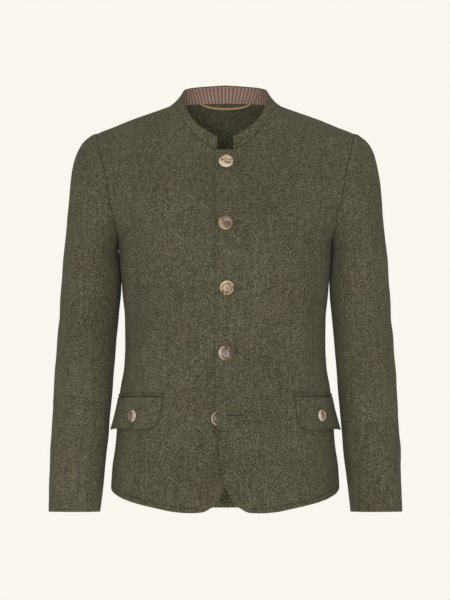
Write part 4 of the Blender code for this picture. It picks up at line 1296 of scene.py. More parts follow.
def line_inside(outer, normal, distance):
    """Points and directions at one distance above the bottom edge of a grid."""
    down = run_along(outer, 0)
    below = down[-1][None, :] - down
    points, ways = [], []
    for i in range(outer.shape[1]):
        run = below[::-1, i]
        points.append([np.interp(distance, run, outer[::-1, i, k]) for k in range(3)])
        ways.append([np.interp(distance, run, normal[::-1, i, k]) for k in range(3)])
    return np.array(points), np.array(ways)


def stitch_row(line, pitch, sign):
    """Places and directions of stitches spread along a line on the cloth."""
    points, normals = line
    run = line_run(points)
    count = max(int(run[-1] / pitch), 2)
    want = (np.arange(count) + 0.5) * run[-1] / count
    place = np.column_stack([np.interp(want, run, points[:, k]) for k in range(3)])
    normal = np.column_stack([np.interp(want, run, normals[:, k]) for k in range(3)])
    way = np.gradient(place, axis=0)
    way /= np.linalg.norm(way, axis=1, keepdims=True)
    place = place + normal * THREAD_LIFT
    return place * (sign, 1, 1), way * (sign, 1, 1)


def edge_stitches(pitch):
    """Stitches along the hems; those of the fronts end short of the corner."""
    places, ways = [], []
    for panel in PANELS:
        outer, normal = panel_grid(panel)[1:]
        points, out = line_inside(outer, normal, STITCH_INSET)
        if panel.startswith("front"):
            keep = run_along(outer, 1)[-1] > STITCH_END
            points, out = points[keep], out[keep]
        place, way = stitch_row((points, out), pitch, -1 if panel.endswith("right") else 1)
        places.append(place)
        ways.append(way)
    return np.concatenate(places), np.concatenate(ways)


def buttonhole_lines(holes):
    """Places and ways of the dark slits, then those of the whipped stitches."""
    slits, whips = ([], []), ([], [])
    for start, end, height in holes:
        s = np.arange(start, end, SLIT_STEP)
        for rise, (places, ways) in ((0.0, slits), (WHIP_OFF, whips), (-WHIP_OFF, whips)):
            z = np.full_like(s, height + rise)
            grid = cloth_surface("front_left", np.stack([s, s]), np.stack([z + 0.0005, z - 0.0005]))[0]
            middle = (grid[0] + grid[1]) / 2
            fall = grid[1] - grid[0]
            fall /= np.linalg.norm(fall, axis=1, keepdims=True)
            along = np.gradient(middle, axis=0)
            along /= np.linalg.norm(along, axis=1, keepdims=True)
            out = np.cross(fall, along)
            places.append(middle + out * (WHIP_LIFT if rise else SLIT_LIFT))
            ways.append(fall + along * 0.12 if rise else along)
        for angle in np.radians(np.linspace(-80, 80, 7)):
            ds, dz = math.cos(angle), math.sin(angle)
            s_pair = [end + ds * EYE_RADIUS, end + ds * (EYE_RADIUS + EYE_REACH)]
            z_pair = [height + dz * EYE_RADIUS, height + dz * (EYE_RADIUS + EYE_REACH)]
            grid = cloth_surface("front_left", np.array([s_pair] * 2), np.array([z_pair] * 2))[0]
            whips[0].append(grid[0, :1] + np.array([0.0, -WHIP_LIFT, 0.0]))
            whips[1].append(grid[0, 1:] - grid[0, :1])
    return [np.concatenate(found) for found in slits + whips]


def stitch_tree():
    """A tree that sets a small rounded stitch on every point of a mesh."""
    tree = bpy.data.node_groups.new("stitches", "GeometryNodeTree")
    tree.interface.new_socket(name="Geometry", in_out="INPUT", socket_type="NodeSocketGeometry")
    for name, value in (("Stitch Length", 0.0022), ("Thread Width", 0.0006)):
        socket = tree.interface.new_socket(name=name, in_out="INPUT", socket_type="NodeSocketFloat")
        socket.default_value = value
    tree.interface.new_socket(name="Thread", in_out="INPUT", socket_type="NodeSocketMaterial")
    tree.interface.new_socket(name="Geometry", in_out="OUTPUT", socket_type="NodeSocketGeometry")
    start = tree.nodes.new("NodeGroupInput")
    points = node(tree, "GeometryNodeMeshToPoints", {"Mesh": start.outputs["Geometry"]})
    ball = node(tree, "GeometryNodeMeshUVSphere", {"Segments": 6, "Rings": 5, "Radius": 0.5})
    way = node(tree, "GeometryNodeInputNamedAttribute", {"Name": "way"}, data_type="FLOAT_VECTOR")
    turn = node(tree, "FunctionNodeAlignRotationToVector", {"Vector": way.outputs["Attribute"]}, axis="X")
    uneven_part = node(tree, "FunctionNodeRandomValue", {"Seed": 7}, data_type="FLOAT")
    uneven_part.inputs[2].default_value = 0.86
    uneven_part.inputs[3].default_value = 1.08
    long = node(tree, "ShaderNodeMath", {0: start.outputs["Stitch Length"], 1: uneven_part.outputs[1]},
                operation="MULTIPLY")
    size = node(tree, "ShaderNodeCombineXYZ", {"X": long.outputs[0], "Y": start.outputs["Thread Width"],
                                               "Z": start.outputs["Thread Width"]})
    copies = node(tree, "GeometryNodeInstanceOnPoints", {
        "Points": points.outputs["Points"], "Instance": ball.outputs["Mesh"],
        "Rotation": turn.outputs["Rotation"], "Scale": size.outputs["Vector"]})
    real = node(tree, "GeometryNodeRealizeInstances", {"Geometry": copies.outputs["Instances"]})
    smooth = node(tree, "GeometryNodeSetShadeSmooth", {"Geometry": real.outputs["Geometry"]})
    paint = node(tree, "GeometryNodeSetMaterial", {"Geometry": smooth.outputs["Geometry"],
                                                   "Material": start.outputs["Thread"]})
    end = tree.nodes.new("NodeGroupOutput")
    tree.links.new(paint.outputs["Geometry"], end.inputs["Geometry"])
    return tree


def stitches(name, places, ways, length, width, material):
    """A row of stitches as one plain mesh."""
    mesh = bpy.data.meshes.new(name + "_points")
    mesh.from_pydata([tuple(p) for p in places], [], [])
    way = mesh.attributes.new("way", "FLOAT_VECTOR", "POINT")
    way.data.foreach_set("vector", np.ascontiguousarray(ways, dtype=float).ravel())
    base = bpy.data.objects.new(name + "_points", mesh)
    bpy.context.scene.collection.objects.link(base)
    tree = bpy.data.node_groups.get("stitches") or stitch_tree()
    live = base.modifiers.new("stitches", "NODES")
    live.node_group = tree
    values = {"Stitch Length": length, "Thread Width": width, "Thread": material}
    for item in tree.interface.items_tree:
        if item.item_type == "SOCKET" and item.in_out == "INPUT" and item.name in values:
            live[item.identifier] = values[item.name]
    graph = bpy.context.evaluated_depsgraph_get()
    made = bpy.data.meshes.new_from_object(base.evaluated_get(graph), depsgraph=graph)
    base.modifiers.remove(live)
    bpy.data.objects.remove(base)
    made.name = name
    if not made.materials:
        made.materials.append(material)
    obj = bpy.data.objects.new(name, made)
    bpy.context.scene.collection.objects.link(obj)
    return obj


# Materials
def fill(tree, made, inputs):
    """Sets inputs of a node; a socket as a value is linked."""
    for key, value in inputs.items():
        if isinstance(value, bpy.types.NodeSocket):
            tree.links.new(value, made.inputs[key])
        else:
            made.inputs[key].default_value = value


def node(tree, kind, inputs=None, **settings):
    """A node with its settings and inputs."""
    made = tree.nodes.new(kind)
    for key, value in settings.items():
        setattr(made, key, value)
    fill(tree, made, inputs or {})
    return made


def group_tree(name, inputs, outputs):
    """A new shader group with its inner input and output nodes."""
    tree = bpy.data.node_groups.new(name, "ShaderNodeTree")
    for label, kind in inputs:
        tree.interface.new_socket(name=label, in_out="INPUT", socket_type=kind)
    for label, kind in outputs:
        tree.interface.new_socket(name=label, in_out="OUTPUT", socket_type=kind)
    return tree, tree.nodes.new("NodeGroupInput"), tree.nodes.new("NodeGroupOutput")


def math_node(tree, operation, *values):
    """The result of one operation on one to three values."""
    return node(tree, "ShaderNodeMath", dict(enumerate(values)), operation=operation).outputs[0]


def product(tree, value, *others):
    """The product of several values."""
    for other in others:
        value = math_node(tree, "MULTIPLY", value, other)
    return value


def mapped(tree, value, low, high, to_low=0.0, to_high=1.0):
    """A value moved from one range to another and kept inside it."""
    made = node(tree, "ShaderNodeMapRange", {"Value": value, "From Min": low, "From Max": high,
                                             "To Min": to_low, "To Max": to_high})
    return made.outputs["Result"]


def mixed(tree, factor, a, b, blend="MIX"):
    """Two colours mixed."""
    return node(tree, "ShaderNodeMix", {0: factor, 6: a, 7: b}, data_type="RGBA",
                blend_type=blend).outputs[2]


def shaded(tree, colour, shade):
    """A colour made lighter or darker by one value."""
    scaled = node(tree, "ShaderNodeCombineXYZ", {"X": shade, "Y": shade, "Z": shade}).outputs[0]
    return mixed(tree, 1.0, colour, scaled, "MULTIPLY")


def stretched(tree, place, scale):
    """A place scaled differently along each axis."""
    return node(tree, "ShaderNodeMapping", {"Vector": place, "Scale": scale}).outputs["Vector"]


def noisy(tree, place, scale, detail=2.0, roughness=0.5, distortion=0.0):
    """Soft noise from 0 to 1."""
    made = node(tree, "ShaderNodeTexNoise", {"Vector": place, "Scale": scale, "Detail": detail,
                                             "Roughness": roughness, "Distortion": distortion})
    return made.outputs["Fac"]


def object_place(tree):
    """The place on the jacket in metres."""
    return node(tree, "ShaderNodeTexCoord").outputs["Object"]


def cloth_place(tree):
    """The place on the piece's own flat cloth."""
    return node(tree, "ShaderNodeUVMap", uv_map="cloth").outputs["UV"]


STITCH_GROOVE = 0.0013       # half width of the dent along the stitched line
# Distances over which the painted seam shade fades out
SEAM_SHADE = (0.0003, 0.0021)


def wool_group():
    """Mottled milled wool: colour, surface height and roughness. The colour also carries painted shade along
    seams and in the stitch groove, and painted light on the inner side.
    """
    name = "wool_look"
    if name in bpy.data.node_groups:
        return bpy.data.node_groups[name]
    colour, number, vector = "NodeSocketColor", "NodeSocketFloat", "NodeSocketVector"
    tree, start, end = group_tree(name, (("Place", vector), ("Dark", colour), ("Light", colour),
                                         ("Brown", colour), ("Edge Run", number), ("Inset", number),
                                         ("Seam Run", number), ("Inner Side", number)),
                                  (("Color", colour), ("Height", number), ("Roughness", number)))
    given = start.outputs
    place = given["Place"]
    fleck = noisy(tree, stretched(tree, place, (1.0, 1.0, 0.50)), 860.0, 2.0, 0.60, 0.6)
    fibre = noisy(tree, stretched(tree, place, (1.0, 1.0, 0.40)), 1500.0, 2.0, 0.6)
    nap = noisy(tree, stretched(tree, place, (1.0, 1.0, 0.14)), 170.0, 2.0, 0.55)
    patch = noisy(tree, place, 95.0, 2.0, 0.5)
    cloud = noisy(tree, place, 17.0, 3.0, 0.5)
    broad = noisy(tree, place, 6.0, 2.0, 0.5)
    mask = mapped(tree, fleck, 0.44, 0.58)
    fine = mapped(tree, fibre, 0.34, 0.66)
    blend = math_node(tree, "MULTIPLY_ADD", mask, 0.70, product(tree, fine, 0.30))
    base = mixed(tree, blend, given["Dark"], given["Light"])
    brown = product(tree, mapped(tree, cloud, 0.45, 0.70), 0.55)
    base = mixed(tree, brown, base, mixed(tree, 1.0, base, given["Brown"], "MULTIPLY"))
    # Painted shade: the colour is darkened in the dent along the stitched line, which also lowers the height
    off = math_node(tree, "DIVIDE", math_node(tree, "SUBTRACT", given["Edge Run"], given["Inset"]),
                    STITCH_GROOVE)
    groove = math_node(tree, "POWER", math.e, product(tree, off, off, -1.0))
    # Painted light: the inner side is painted lighter, standing in for light that reaches inside, and
    # lighter still within about 10 mm of the hem
    band = mapped(tree, given["Edge Run"], 0.0098, 0.0108, 1.55, 1.28)
    inner = math_node(tree, "MULTIPLY_ADD", math_node(tree, "SUBTRACT", band, 1.0), given["Inner Side"], 1.0)
    # Painted shade: the outer side is darkened close to seams and lines, standing in for the shade in the
    # seam
    near = product(tree, mapped(tree, given["Seam Run"], *SEAM_SHADE, 1.0, 0.0),
                   mapped(tree, given["Inner Side"], 0.0, 0.6, 1.0, 0.0))
    shade = product(tree, mapped(tree, nap, 0.25, 0.75, 0.82, 1.18),
                    mapped(tree, patch, 0.25, 0.75, 0.92, 1.08),
                    mapped(tree, broad, 0.32, 0.68, 0.90, 1.10),
                    mapped(tree, groove, 0.0, 1.0, 1.0, 0.72),
                    inner, mapped(tree, near, 0.0, 1.0, 1.0, 0.49))
    height = math_node(tree, "ADD", product(tree, mask, 0.55), product(tree, fine, 0.45))
    fill(tree, end, {"Color": shaded(tree, base, shade),
                     "Height": math_node(tree, "SUBTRACT", height, product(tree, groove, 1.6)),
                     "Roughness": mapped(tree, fleck, 0.3, 0.7, 0.86, 0.96)})
    return tree


def new_material(name):
    """A material with a plain shader, and its tree and shader."""
    material = bpy.data.materials.new(name)
    material.use_nodes = True
    tree = material.node_tree
    tree.nodes.clear()
    shader = tree.nodes.new("ShaderNodeBsdfPrincipled")
    node(tree, "ShaderNodeOutputMaterial", {"Surface": shader.outputs["BSDF"]})
    return material, tree, shader


def rgba(colour):
    """A colour with full cover."""
    return (colour[0], colour[1], colour[2], 1.0)


def bumped(tree, height, strength, distance):
    """The surface direction over small bumps."""
    return node(tree, "ShaderNodeBump", {"Strength": strength, "Distance": distance,
                                         "Height": height}).outputs["Normal"]


def wool_material(looks, name, inset):
    """The jacket's wool."""
    material, tree, shader = new_material(name)
    look = node(tree, "ShaderNodeGroup", {
        "Place": object_place(tree), "Inset": inset, "Dark": rgba(looks.wool_dark),
        "Light": rgba(looks.wool_light), "Brown": rgba(looks.wool_brown)}, node_tree=wool_group())
    for label in ("Edge Run", "Seam Run", "Inner Side"):
        attribute = label.lower().replace(" ", "_")
        value = node(tree, "ShaderNodeAttribute", attribute_name=attribute).outputs["Fac"]
        tree.links.new(value, look.inputs[label])
    fill(tree, shader, {"Base Color": look.outputs["Color"], "Roughness": look.outputs["Roughness"],
                        "Normal": bumped(tree, look.outputs["Height"], 0.75, 0.0007),
                        "Specular IOR Level": 0.12, "Sheen Weight": 0.16, "Sheen Roughness": 0.45,
                        "Sheen Tint": (0.62, 0.60, 0.48, 1.0)})
    return material


def stripe_material(looks):
    """The woven stripes of the collar band."""
    material, tree, shader = new_material("collar_stripes")
    across = node(tree, "ShaderNodeSeparateXYZ", {"Vector": cloth_place(tree)}).outputs["X"]
    place = object_place(tree)
    wobble = product(tree, math_node(tree, "SUBTRACT", noisy(tree, place, 130.0), 0.5), 0.0011)
    run = math_node(tree, "ADD", across, wobble)
    part = math_node(tree, "FRACT", math_node(tree, "DIVIDE", run, looks.stripe_period))
    ramp = node(tree, "ShaderNodeValToRGB", {"Fac": part})
    stops = ((0.00, looks.stripe_dark), (0.36, looks.stripe_dark), (0.42, looks.stripe_light),
             (0.60, looks.stripe_light), (0.64, looks.stripe_dark), (0.69, looks.stripe_light),
             (0.93, looks.stripe_light), (1.00, looks.stripe_dark))
    points = ramp.color_ramp.elements
    points[0].position, points[0].color = stops[0][0], rgba(stops[0][1])
    points[1].position, points[1].color = stops[-1][0], rgba(stops[-1][1])
    for at, colour in stops[1:-1]:
        points.new(at).color = rgba(colour)
    threads = noisy(tree, stretched(tree, place, (1.0, 1.0, 0.25)), 1700.0, 1.0)
    colour = shaded(tree, ramp.outputs["Color"], mapped(tree, threads, 0.3, 0.7, 0.80, 1.16))
    fill(tree, shader, {"Base Color": colour, "Normal": bumped(tree, threads, 0.5, 0.0003),
                        "Roughness": 0.62, "Sheen Weight": 0.08})
    return material


BRAID_LENGTH = 0.0038


def cord_material(looks):
    """Strands of the loop that cross, drawn as painted shade between the strands and painted light on their
    crowns, with fine fibres.
    """
    material, tree, shader = new_material("cord_braid")
    fibre = noisy(tree, stretched(tree, object_place(tree), (0.35, 1.0, 1.0)), 2200.0, 2.0)
    parts = node(tree, "ShaderNodeSeparateXYZ", {"Vector": cloth_place(tree)}).outputs
    along = math_node(tree, "DIVIDE", parts["X"], BRAID_LENGTH)
    turns = product(tree, parts["Y"], float(CORD_STRANDS))
    strands = []
    for operation in ("ADD", "SUBTRACT"):
        wave = math_node(tree, "FRACT", math_node(tree, operation, along, turns))
        strands.append(math_node(tree, "ABSOLUTE", math_node(tree, "SUBTRACT", wave, 0.5)))
    # Painted shade and light: the colour is darker between the strands and lighter on them
    braid = mapped(tree, math_node(tree, "MAXIMUM", *strands), 0.22, 0.44, 0.42, 1.15)
    shade = product(tree, mapped(tree, fibre, 0.3, 0.7, 0.80, 1.12), braid)
    fill(tree, shader, {"Base Color": shaded(tree, rgba(looks.cord), shade),
                        "Normal": bumped(tree, fibre, 0.6, 0.0003), "Roughness": 0.75})
    return material


def thread_material(name, colour):
    """Sewing thread, slightly uneven in tone."""
    material, tree, shader = new_material(name)
    shade = mapped(tree, noisy(tree, object_place(tree), 900.0), 0.3, 0.7, 0.80, 1.18)
    fill(tree, shader, {"Base Color": shaded(tree, rgba(colour), shade), "Roughness": 0.80})
    return material


# Horn buttons: rim is the way of the light side in degrees from the right,
# cover how far out the light side starts, mark the way of the streaks
HORN_COLUMNS = ("node", "body", "marks", "light", "rim", "cover", "mark", "amount", "seed")
HORNS = (
    ("button_1", (0.600, 0.450, 0.290), (0.150, 0.075, 0.032), (0.760, 0.640, 0.460),
     250.0, 0.30, 10.0, 0.52, 1.0),
    ("button_2", (0.230, 0.120, 0.070), (0.060, 0.028, 0.016), (0.400, 0.300, 0.200),
     215.0, 0.35, 150.0, 0.52, 2.0),
    ("button_3", (0.380, 0.230, 0.100), (0.090, 0.045, 0.018), (0.620, 0.460, 0.270),
     120.0, 0.55, 60.0, 0.55, 3.0),
    ("button_4", (0.200, 0.110, 0.074), (0.045, 0.022, 0.014), (0.480, 0.370, 0.285),
     180.0, 0.45, 92.0, 0.56, 4.0),
    ("button_5", (0.120, 0.065, 0.038), (0.045, 0.020, 0.010), (0.420, 0.330, 0.240),
     190.0, 0.70, 80.0, 0.50, 5.0),
    ("flap_button_left", (0.460, 0.290, 0.185), (0.090, 0.044, 0.026), (0.760, 0.660, 0.520),
     180.0, 0.24, 110.0, 0.50, 6.0),
    ("flap_button_right", (0.230, 0.135, 0.090), (0.070, 0.034, 0.020), (0.660, 0.580, 0.470),
     0.0, 0.08, 70.0, 0.50, 7.0),
)


def horn_group():
    """Streaked horn with one lighter side of the rim."""
    name = "horn_look"
    if name in bpy.data.node_groups:
        return bpy.data.node_groups[name]
    colour, number, vector = "NodeSocketColor", "NodeSocketFloat", "NodeSocketVector"
    tree, start, end = group_tree(name, (("Place", vector), ("Body", colour), ("Marks", colour),
                                         ("Light", colour), ("Rim Way", number), ("Cover", number),
                                         ("Mark Way", number), ("Amount", number), ("Seed", number)),
                                  (("Color", colour), ("Roughness", number)))
    given = start.outputs
    place = given["Place"]
    turned = node(tree, "ShaderNodeVectorRotate", {"Vector": place, "Angle": given["Mark Way"]},
                  rotation_type="Z_AXIS", invert=True).outputs["Vector"]
    shift = node(tree, "ShaderNodeCombineXYZ", {"X": given["Seed"], "Y": given["Seed"]}).outputs[0]
    moved = node(tree, "ShaderNodeVectorMath", {0: turned, 1: shift}, operation="ADD").outputs[0]
    streak = noisy(tree, stretched(tree, moved, (0.55, 2.2, 1.0)), 2.1, 3.0, 0.55, 0.9)
    fine = noisy(tree, stretched(tree, moved, (0.8, 3.2, 1.0)), 2.6, 3.0, 0.6, 0.5)
    edge = math_node(tree, "SUBTRACT", 1.02, given["Amount"])
    mask = node(tree, "ShaderNodeMapRange", {
        "Value": streak, "From Min": edge, "From Max": math_node(tree, "ADD", edge, 0.09)},
        interpolation_type="SMOOTHSTEP").outputs["Result"]
    body = mixed(tree, mapped(tree, fine, 0.50, 0.62, 0.0, 0.85), given["Body"],
                 mixed(tree, 0.60, given["Body"], given["Light"]))
    body = mixed(tree, mapped(tree, fine, 0.48, 0.38, 0.0, 0.60), body, given["Marks"])
    body = mixed(tree, mask, body, given["Marks"])
    parts = node(tree, "ShaderNodeSeparateXYZ", {"Vector": place}).outputs
    far = node(tree, "ShaderNodeVectorMath", {0: place}, operation="LENGTH").outputs["Value"]
    toward = math_node(tree, "ADD",
                       product(tree, parts["X"], math_node(tree, "COSINE", given["Rim Way"])),
                       product(tree, parts["Y"], math_node(tree, "SINE", given["Rim Way"])))
    rim = product(tree, mapped(tree, far, 0.74, 0.82), mapped(tree, toward, -0.15, 0.45),
                  mapped(tree, fine, 0.30, 0.55, 0.45, 1.0))
    cover = mapped(tree, toward, given["Cover"], math_node(tree, "ADD", given["Cover"], 0.12))
    cover = product(tree, cover, mapped(tree, fine, 0.36, 0.50, 0.35, 1.0))
    light = math_node(tree, "MAXIMUM", rim, cover)
    fill(tree, end, {"Color": mixed(tree, light, body, given["Light"]),
                     "Roughness": mapped(tree, fine, 0.3, 0.7, 0.26, 0.42)})
    return tree


def horn_material(row):
    """Polished horn of one button, from its row of the table."""
    values = dict(zip(HORN_COLUMNS, row))
    material, tree, shader = new_material("horn_" + values["node"])
    look = node(tree, "ShaderNodeGroup", {
        "Place": cloth_place(tree), "Body": rgba(values["body"]), "Marks": rgba(values["marks"]),
        "Light": rgba(values["light"]), "Rim Way": math.radians(values["rim"]), "Cover": values["cover"],
        "Mark Way": math.radians(values["mark"]), "Amount": values["amount"], "Seed": values["seed"]},
        node_tree=horn_group())
    fill(tree, shader, {"Base Color": look.outputs["Color"], "Roughness": look.outputs["Roughness"],
                        "Coat Weight": 0.20, "Coat Roughness": 0.22})
    return material


class JacketLooks(bpy.types.PropertyGroup):
    """Colours and sizes that can be changed before the pieces are built."""

    wool_dark: FloatVectorProperty(name="Wool dark", description="Darker fibres of the wool",
                                   subtype="COLOR", default=(0.017, 0.016, 0.007), min=0, max=1)
    wool_light: FloatVectorProperty(name="Wool light", description="Lighter fibres of the wool",
                                    subtype="COLOR", default=(0.205, 0.192, 0.127), min=0, max=1)
    wool_brown: FloatVectorProperty(name="Wool cast", description="Tint of the warmer patches",
                                    subtype="COLOR", default=(1.0, 0.90, 0.82), min=0, max=1)
    stripe_light: FloatVectorProperty(name="Stripe light", description="Pale stripes inside the collar",
                                      subtype="COLOR", default=(0.400, 0.258, 0.205), min=0, max=1)
    stripe_dark: FloatVectorProperty(name="Stripe dark", description="Dark stripes inside the collar",
                                     subtype="COLOR", default=(0.165, 0.085, 0.067), min=0, max=1)
    stripe_period: FloatProperty(name="Stripe period", description="Width of one pair of stripes",
                                 unit="LENGTH", default=0.0064, min=0.002, max=0.03)
    cord: FloatVectorProperty(name="Cord", description="Colour of the hanger loop",
                              subtype="COLOR", default=(0.560, 0.370, 0.190), min=0, max=1)
    thread: FloatVectorProperty(name="Thread", description="Colour of the sewing thread",
                                subtype="COLOR", default=(0.060, 0.056, 0.036), min=0, max=1)
    button_thread: FloatVectorProperty(name="Button thread", description="Thread that holds the buttons",
                                       subtype="COLOR", default=(0.110, 0.080, 0.050), min=0, max=1)
    stitch_pitch: FloatProperty(name="Stitch pitch", description="Distance from stitch to stitch",
                                unit="LENGTH", default=0.0030, min=0.001, max=0.01)
    stitch_length: FloatProperty(name="Stitch length", description="Length of one stitch",
                                 unit="LENGTH", default=0.0023, min=0.0005, max=0.008)
    cord_rings: IntProperty(name="Cord rings", description="Rings of points along the hanger loop",
                            default=CORD_RINGS, min=30, max=400)


def shared_material(name, make):
    """A material that several pieces share, made once."""
    return bpy.data.materials.get(name) or make()


def wool(looks):
    """The wool that all the cloth pieces share."""
    return shared_material("wool_cloth", lambda: wool_material(looks, "wool_cloth", STITCH_INSET))


def hand_in(obj):
    """Attaches a finished piece to the root body and hides the solid whose name it has."""
    solid = obj.name[len(LOOK):]
    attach(obj, "root")
    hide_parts(solid)


CAMERA_PLACE = (-0.0005, -3.2, -0.332)
CAMERA_LENS = 111.6          # millimetres, for a sensor of 36 mm over the height
CAMERA_SENSOR = 36.0
SURROUND = (0.947, 0.922, 0.855, 1.0)
SKY = (1.0, 0.985, 0.96, 1.0)
SKY_STRENGTH = 0.44
FLOOR_COLOUR = (0.93, 0.91, 0.86, 1.0)
FLOOR_LEVEL = -1.02
FLOOR_CORNERS = ((-1.4, -1.5), (1.4, -1.5), (1.4, 0.95), (-1.4, 0.95))
# Soft lights: name, place, target, width in metres, watts
LIGHTS = (
    ("front_light", (-0.40, -3.4, -0.20), (0.0, 0.0, -0.36), 1.6, 46.0),
    ("fill_light", (1.4, -2.8, -0.20), (0.0, 0.0, -0.36), 1.5, 12.0),
    ("top_light", (0.0, -0.4, 2.2), (0.0, 0.0, -0.20), 1.6, 3.0),
    ("back_light", (0.6, 3.2, 0.4), (0.0, 0.0, -0.30), 1.8, 28.0),
)


class JACKET_OT_stage(bpy.types.Operator):
    """Adds the camera, the soft lights, the pale surround and the floor"""

    bl_idname = "jacket.stage"
    bl_label = "Stage"

    def execute(self, context):
        scene = context.scene
        camera = bpy.data.objects.new("camera", bpy.data.cameras.new("camera"))
        camera.location = CAMERA_PLACE
        camera.rotation_euler = (math.radians(90), 0, 0)
        camera.data.sensor_fit = "VERTICAL"
        camera.data.sensor_width = CAMERA_SENSOR
        camera.data.sensor_height = CAMERA_SENSOR
        camera.data.lens = CAMERA_LENS
        scene.collection.objects.link(camera)
        scene.camera = camera
        scene.view_settings.view_transform = "Standard"
        world = bpy.data.worlds.new("surround")
        world.use_nodes = True
        tree = world.node_tree
        tree.nodes.clear()
        seen = node(tree, "ShaderNodeBackground", {"Color": SURROUND, "Strength": 1.0}).outputs[0]
        light = node(tree, "ShaderNodeBackground", {"Color": SKY, "Strength": SKY_STRENGTH}).outputs[0]
        path = tree.nodes.new("ShaderNodeLightPath")
        pick = node(tree, "ShaderNodeMixShader", {0: path.outputs["Is Camera Ray"], 1: light, 2: seen})
        node(tree, "ShaderNodeOutputWorld", {"Surface": pick.outputs[0]})
        scene.world = world
        for name, place, target, width, power in LIGHTS:
            data = bpy.data.lights.new(name, "AREA")
            data.shape = "DISK"
            data.size = width
            data.energy = power
            lamp = bpy.data.objects.new(name, data)
            lamp.location = place
            lamp.rotation_euler = (Vector(target) - Vector(place)).to_track_quat("-Z", "Y").to_euler()
            scene.collection.objects.link(lamp)
        material, tree, shader = new_material("pale_floor")
        fill(tree, shader, {"Base Color": FLOOR_COLOUR, "Roughness": 0.9})
        corners = [(x, y, FLOOR_LEVEL) for x, y in FLOOR_CORNERS]
        finished_mesh("floor", corners, [(0, 1, 2, 3)], material)
        return {"FINISHED"}


class JACKET_OT_cord(bpy.types.Operator):
    """Adds the braided hanger loop inside the neck"""

    bl_idname = "jacket.cord"
    bl_label = "Hanger Loop"

    def execute(self, context):
        looks = context.scene.jacket_looks
        material = shared_material("cord_braid", lambda: cord_material(looks))
        obj, length = cord_mesh(material, looks.cord_rings)
        hand_in(obj)
        path = [tuple(p) for p in cord_route(PATH_POINTS)]
        return {"FINISHED"}


class JACKET_OT_body(bpy.types.Operator):
    """Adds the two fronts and the two backs"""

    bl_idname = "jacket.body"
    bl_label = "Fronts and Backs"

    def execute(self, context):
        for panel in PANELS:
            hand_in(panel_piece(panel, wool(context.scene.jacket_looks)))
        return {"FINISHED"}


class JACKET_OT_sleeves(bpy.types.Operator):
    """Adds the two-piece sleeves"""

    bl_idname = "jacket.sleeves"
    bl_label = "Sleeves"

    def execute(self, context):
        for sleeve in ("sleeve_left", "sleeve_right"):
            for half in ("top", "under"):
                hand_in(sleeve_piece(sleeve, half, wool(context.scene.jacket_looks)))
        return {"FINISHED"}


class JACKET_OT_collar(bpy.types.Operator):
    """Adds the stand collar and the striped band inside it"""

    bl_idname = "jacket.collar"
    bl_label = "Collar"

    def execute(self, context):
        looks = context.scene.jacket_looks
        hand_in(collar_piece(wool(looks)))
        stripes = shared_material("collar_stripes", lambda: stripe_material(looks))
        hand_in(lining_piece(stripes))
        return {"FINISHED"}


class JACKET_OT_pockets(bpy.types.Operator):
    """Adds the pocket welts and flaps"""

    bl_idname = "jacket.pockets"
    bl_label = "Pockets"

    def execute(self, context):
        for name in ("left", "right"):
            for piece in pocket_pieces(name, wool(context.scene.jacket_looks)):
                hand_in(piece)
        return {"FINISHED"}


FLAP_LENGTH_ABOUT = 0.12     # turn distances on a flap into parts of it
FLAP_DEPTH_ABOUT = 0.054
FLAP_BUTTON_THICK = 0.85     # parts of a front button's height


def patch_steps(radius):
    """Steps over the patch of cloth under a button."""
    return np.linspace(-radius * 0.9, radius * 0.9, 7)


class JACKET_OT_buttons(bpy.types.Operator):
    """Adds the horn buttons of the front and of the flaps"""

    bl_idname = "jacket.buttons"
    bl_label = "Buttons"

    def execute(self, context):
        looks = context.scene.jacket_looks
        thread = shared_material("button_thread",
                                 lambda: thread_material("button_thread", looks.button_thread))
        rows = {row[0]: row for row in HORNS}
        steps = patch_steps(BUTTON_RADIUS)
        for name, panel, across, height in BUTTONS:
            obj = button_mesh(name, BUTTON_RADIUS, BUTTON_HEIGHT, horn_material(rows[name]), thread)
            middle = s_from_x(across, height, "front")
            s = np.array([[middle + ds for ds in steps] for dz in steps])
            z = np.array([[height - dz for ds in steps] for dz in steps])
            spots = cloth_surface(panel, s, z)[0]
            seat_button(obj, spots, panel == "front_right", BUTTON_TILTS[name], BUTTON_RADIUS)
            hand_in(obj)
        steps = patch_steps(FLAP_BUTTON_RADIUS)
        for side in ("left", "right"):
            name = "flap_button_" + side
            obj = button_mesh(name, FLAP_BUTTON_RADIUS, BUTTON_HEIGHT * FLAP_BUTTON_THICK,
                              horn_material(rows[name]), thread)
            fall = (FLAP_BUTTON_HEIGHT - FLAP_TOP) / (pocket_value(side, "bottom") - FLAP_TOP)
            parts = pocket_value(side, "button_part") + steps / FLAP_LENGTH_ABOUT
            spots = flap_surface(side, parts, fall + steps / FLAP_DEPTH_ABOUT)[0]
            seat_button(obj, spots, side == "right", BUTTON_TILTS[name], FLAP_BUTTON_RADIUS, FLAP_WALL)
            hand_in(obj)
        return {"FINISHED"}


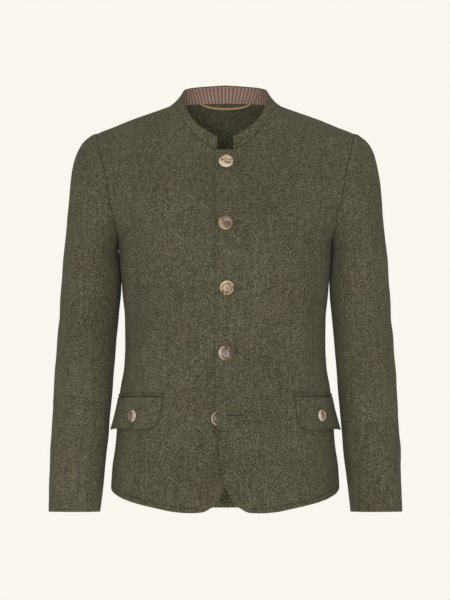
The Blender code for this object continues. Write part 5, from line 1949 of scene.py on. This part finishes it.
class JACKET_OT_sewing(bpy.types.Operator):
    """Adds the stitched edges and the whipped buttonholes"""

    bl_idname = "jacket.sewing"
    bl_label = "Sewing"

    def execute(self, context):
        looks = context.scene.jacket_looks
        seam = shared_material("sewing_thread", lambda: thread_material("sewing_thread", looks.thread))
        # Painted shade: a near-black thread stands for the shade in the lowest buttonhole's open slit
        dark = shared_material("slit",
                               lambda: thread_material("slit", [c * SLIT_SHADE for c in looks.thread]))
        places, ways = edge_stitches(looks.stitch_pitch)
        pieces = [stitches("edge_stitching", places, ways, looks.stitch_length, EDGE_THREAD, seam)]
        for name, holes, wide, colour in (("upper", BUTTONHOLES[:-1], UPPER_SLIT, seam),
                                          ("lower", BUTTONHOLES[-1:], LOWER_SLIT, dark)):
            slit, slit_ways, whip, whip_ways = buttonhole_lines(holes)
            pieces.append(stitches(name + "_buttonhole_slits", slit, slit_ways, SLIT_STITCH, wide, colour))
            pieces.append(stitches(name + "_buttonhole_stitching", whip, whip_ways, WHIP_STITCH,
                                   WHIP_THREAD, seam))
        for piece in pieces:
            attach(piece, "root")
        return {"FINISHED"}


STEPS = (JACKET_OT_stage, JACKET_OT_cord, JACKET_OT_body, JACKET_OT_sleeves, JACKET_OT_collar,
         JACKET_OT_pockets, JACKET_OT_buttons, JACKET_OT_sewing)


class JACKET_PT_panel(bpy.types.Panel):
    """Sizes, colours and the steps of the jacket"""

    bl_label = "Jacket"
    bl_idname = "JACKET_PT_panel"
    bl_space_type = "VIEW_3D"
    bl_region_type = "UI"
    bl_category = "Jacket"

    def draw(self, context):
        for name in JacketLooks.__annotations__:
            self.layout.prop(context.scene.jacket_looks, name)
        for step in STEPS:
            self.layout.operator(step.bl_idname)


CLASSES = (JacketLooks,) + STEPS + (JACKET_PT_panel,)


def register():
    """Makes the settings, the steps and the panel known."""
    for cls in CLASSES:
        bpy.utils.register_class(cls)
    bpy.types.Scene.jacket_looks = PointerProperty(type=JacketLooks)


def unregister():
    """Takes them away again."""
    del bpy.types.Scene.jacket_looks
    for cls in reversed(CLASSES):
        bpy.utils.unregister_class(cls)


def main():
    """Builds the jacket and its stage."""
    register()
    for step in (bpy.ops.jacket.stage, bpy.ops.jacket.cord, bpy.ops.jacket.body, bpy.ops.jacket.sleeves,
                 bpy.ops.jacket.collar, bpy.ops.jacket.pockets, bpy.ops.jacket.buttons,
                 bpy.ops.jacket.sewing):
        step()


if __name__ == "__main__":
    main()
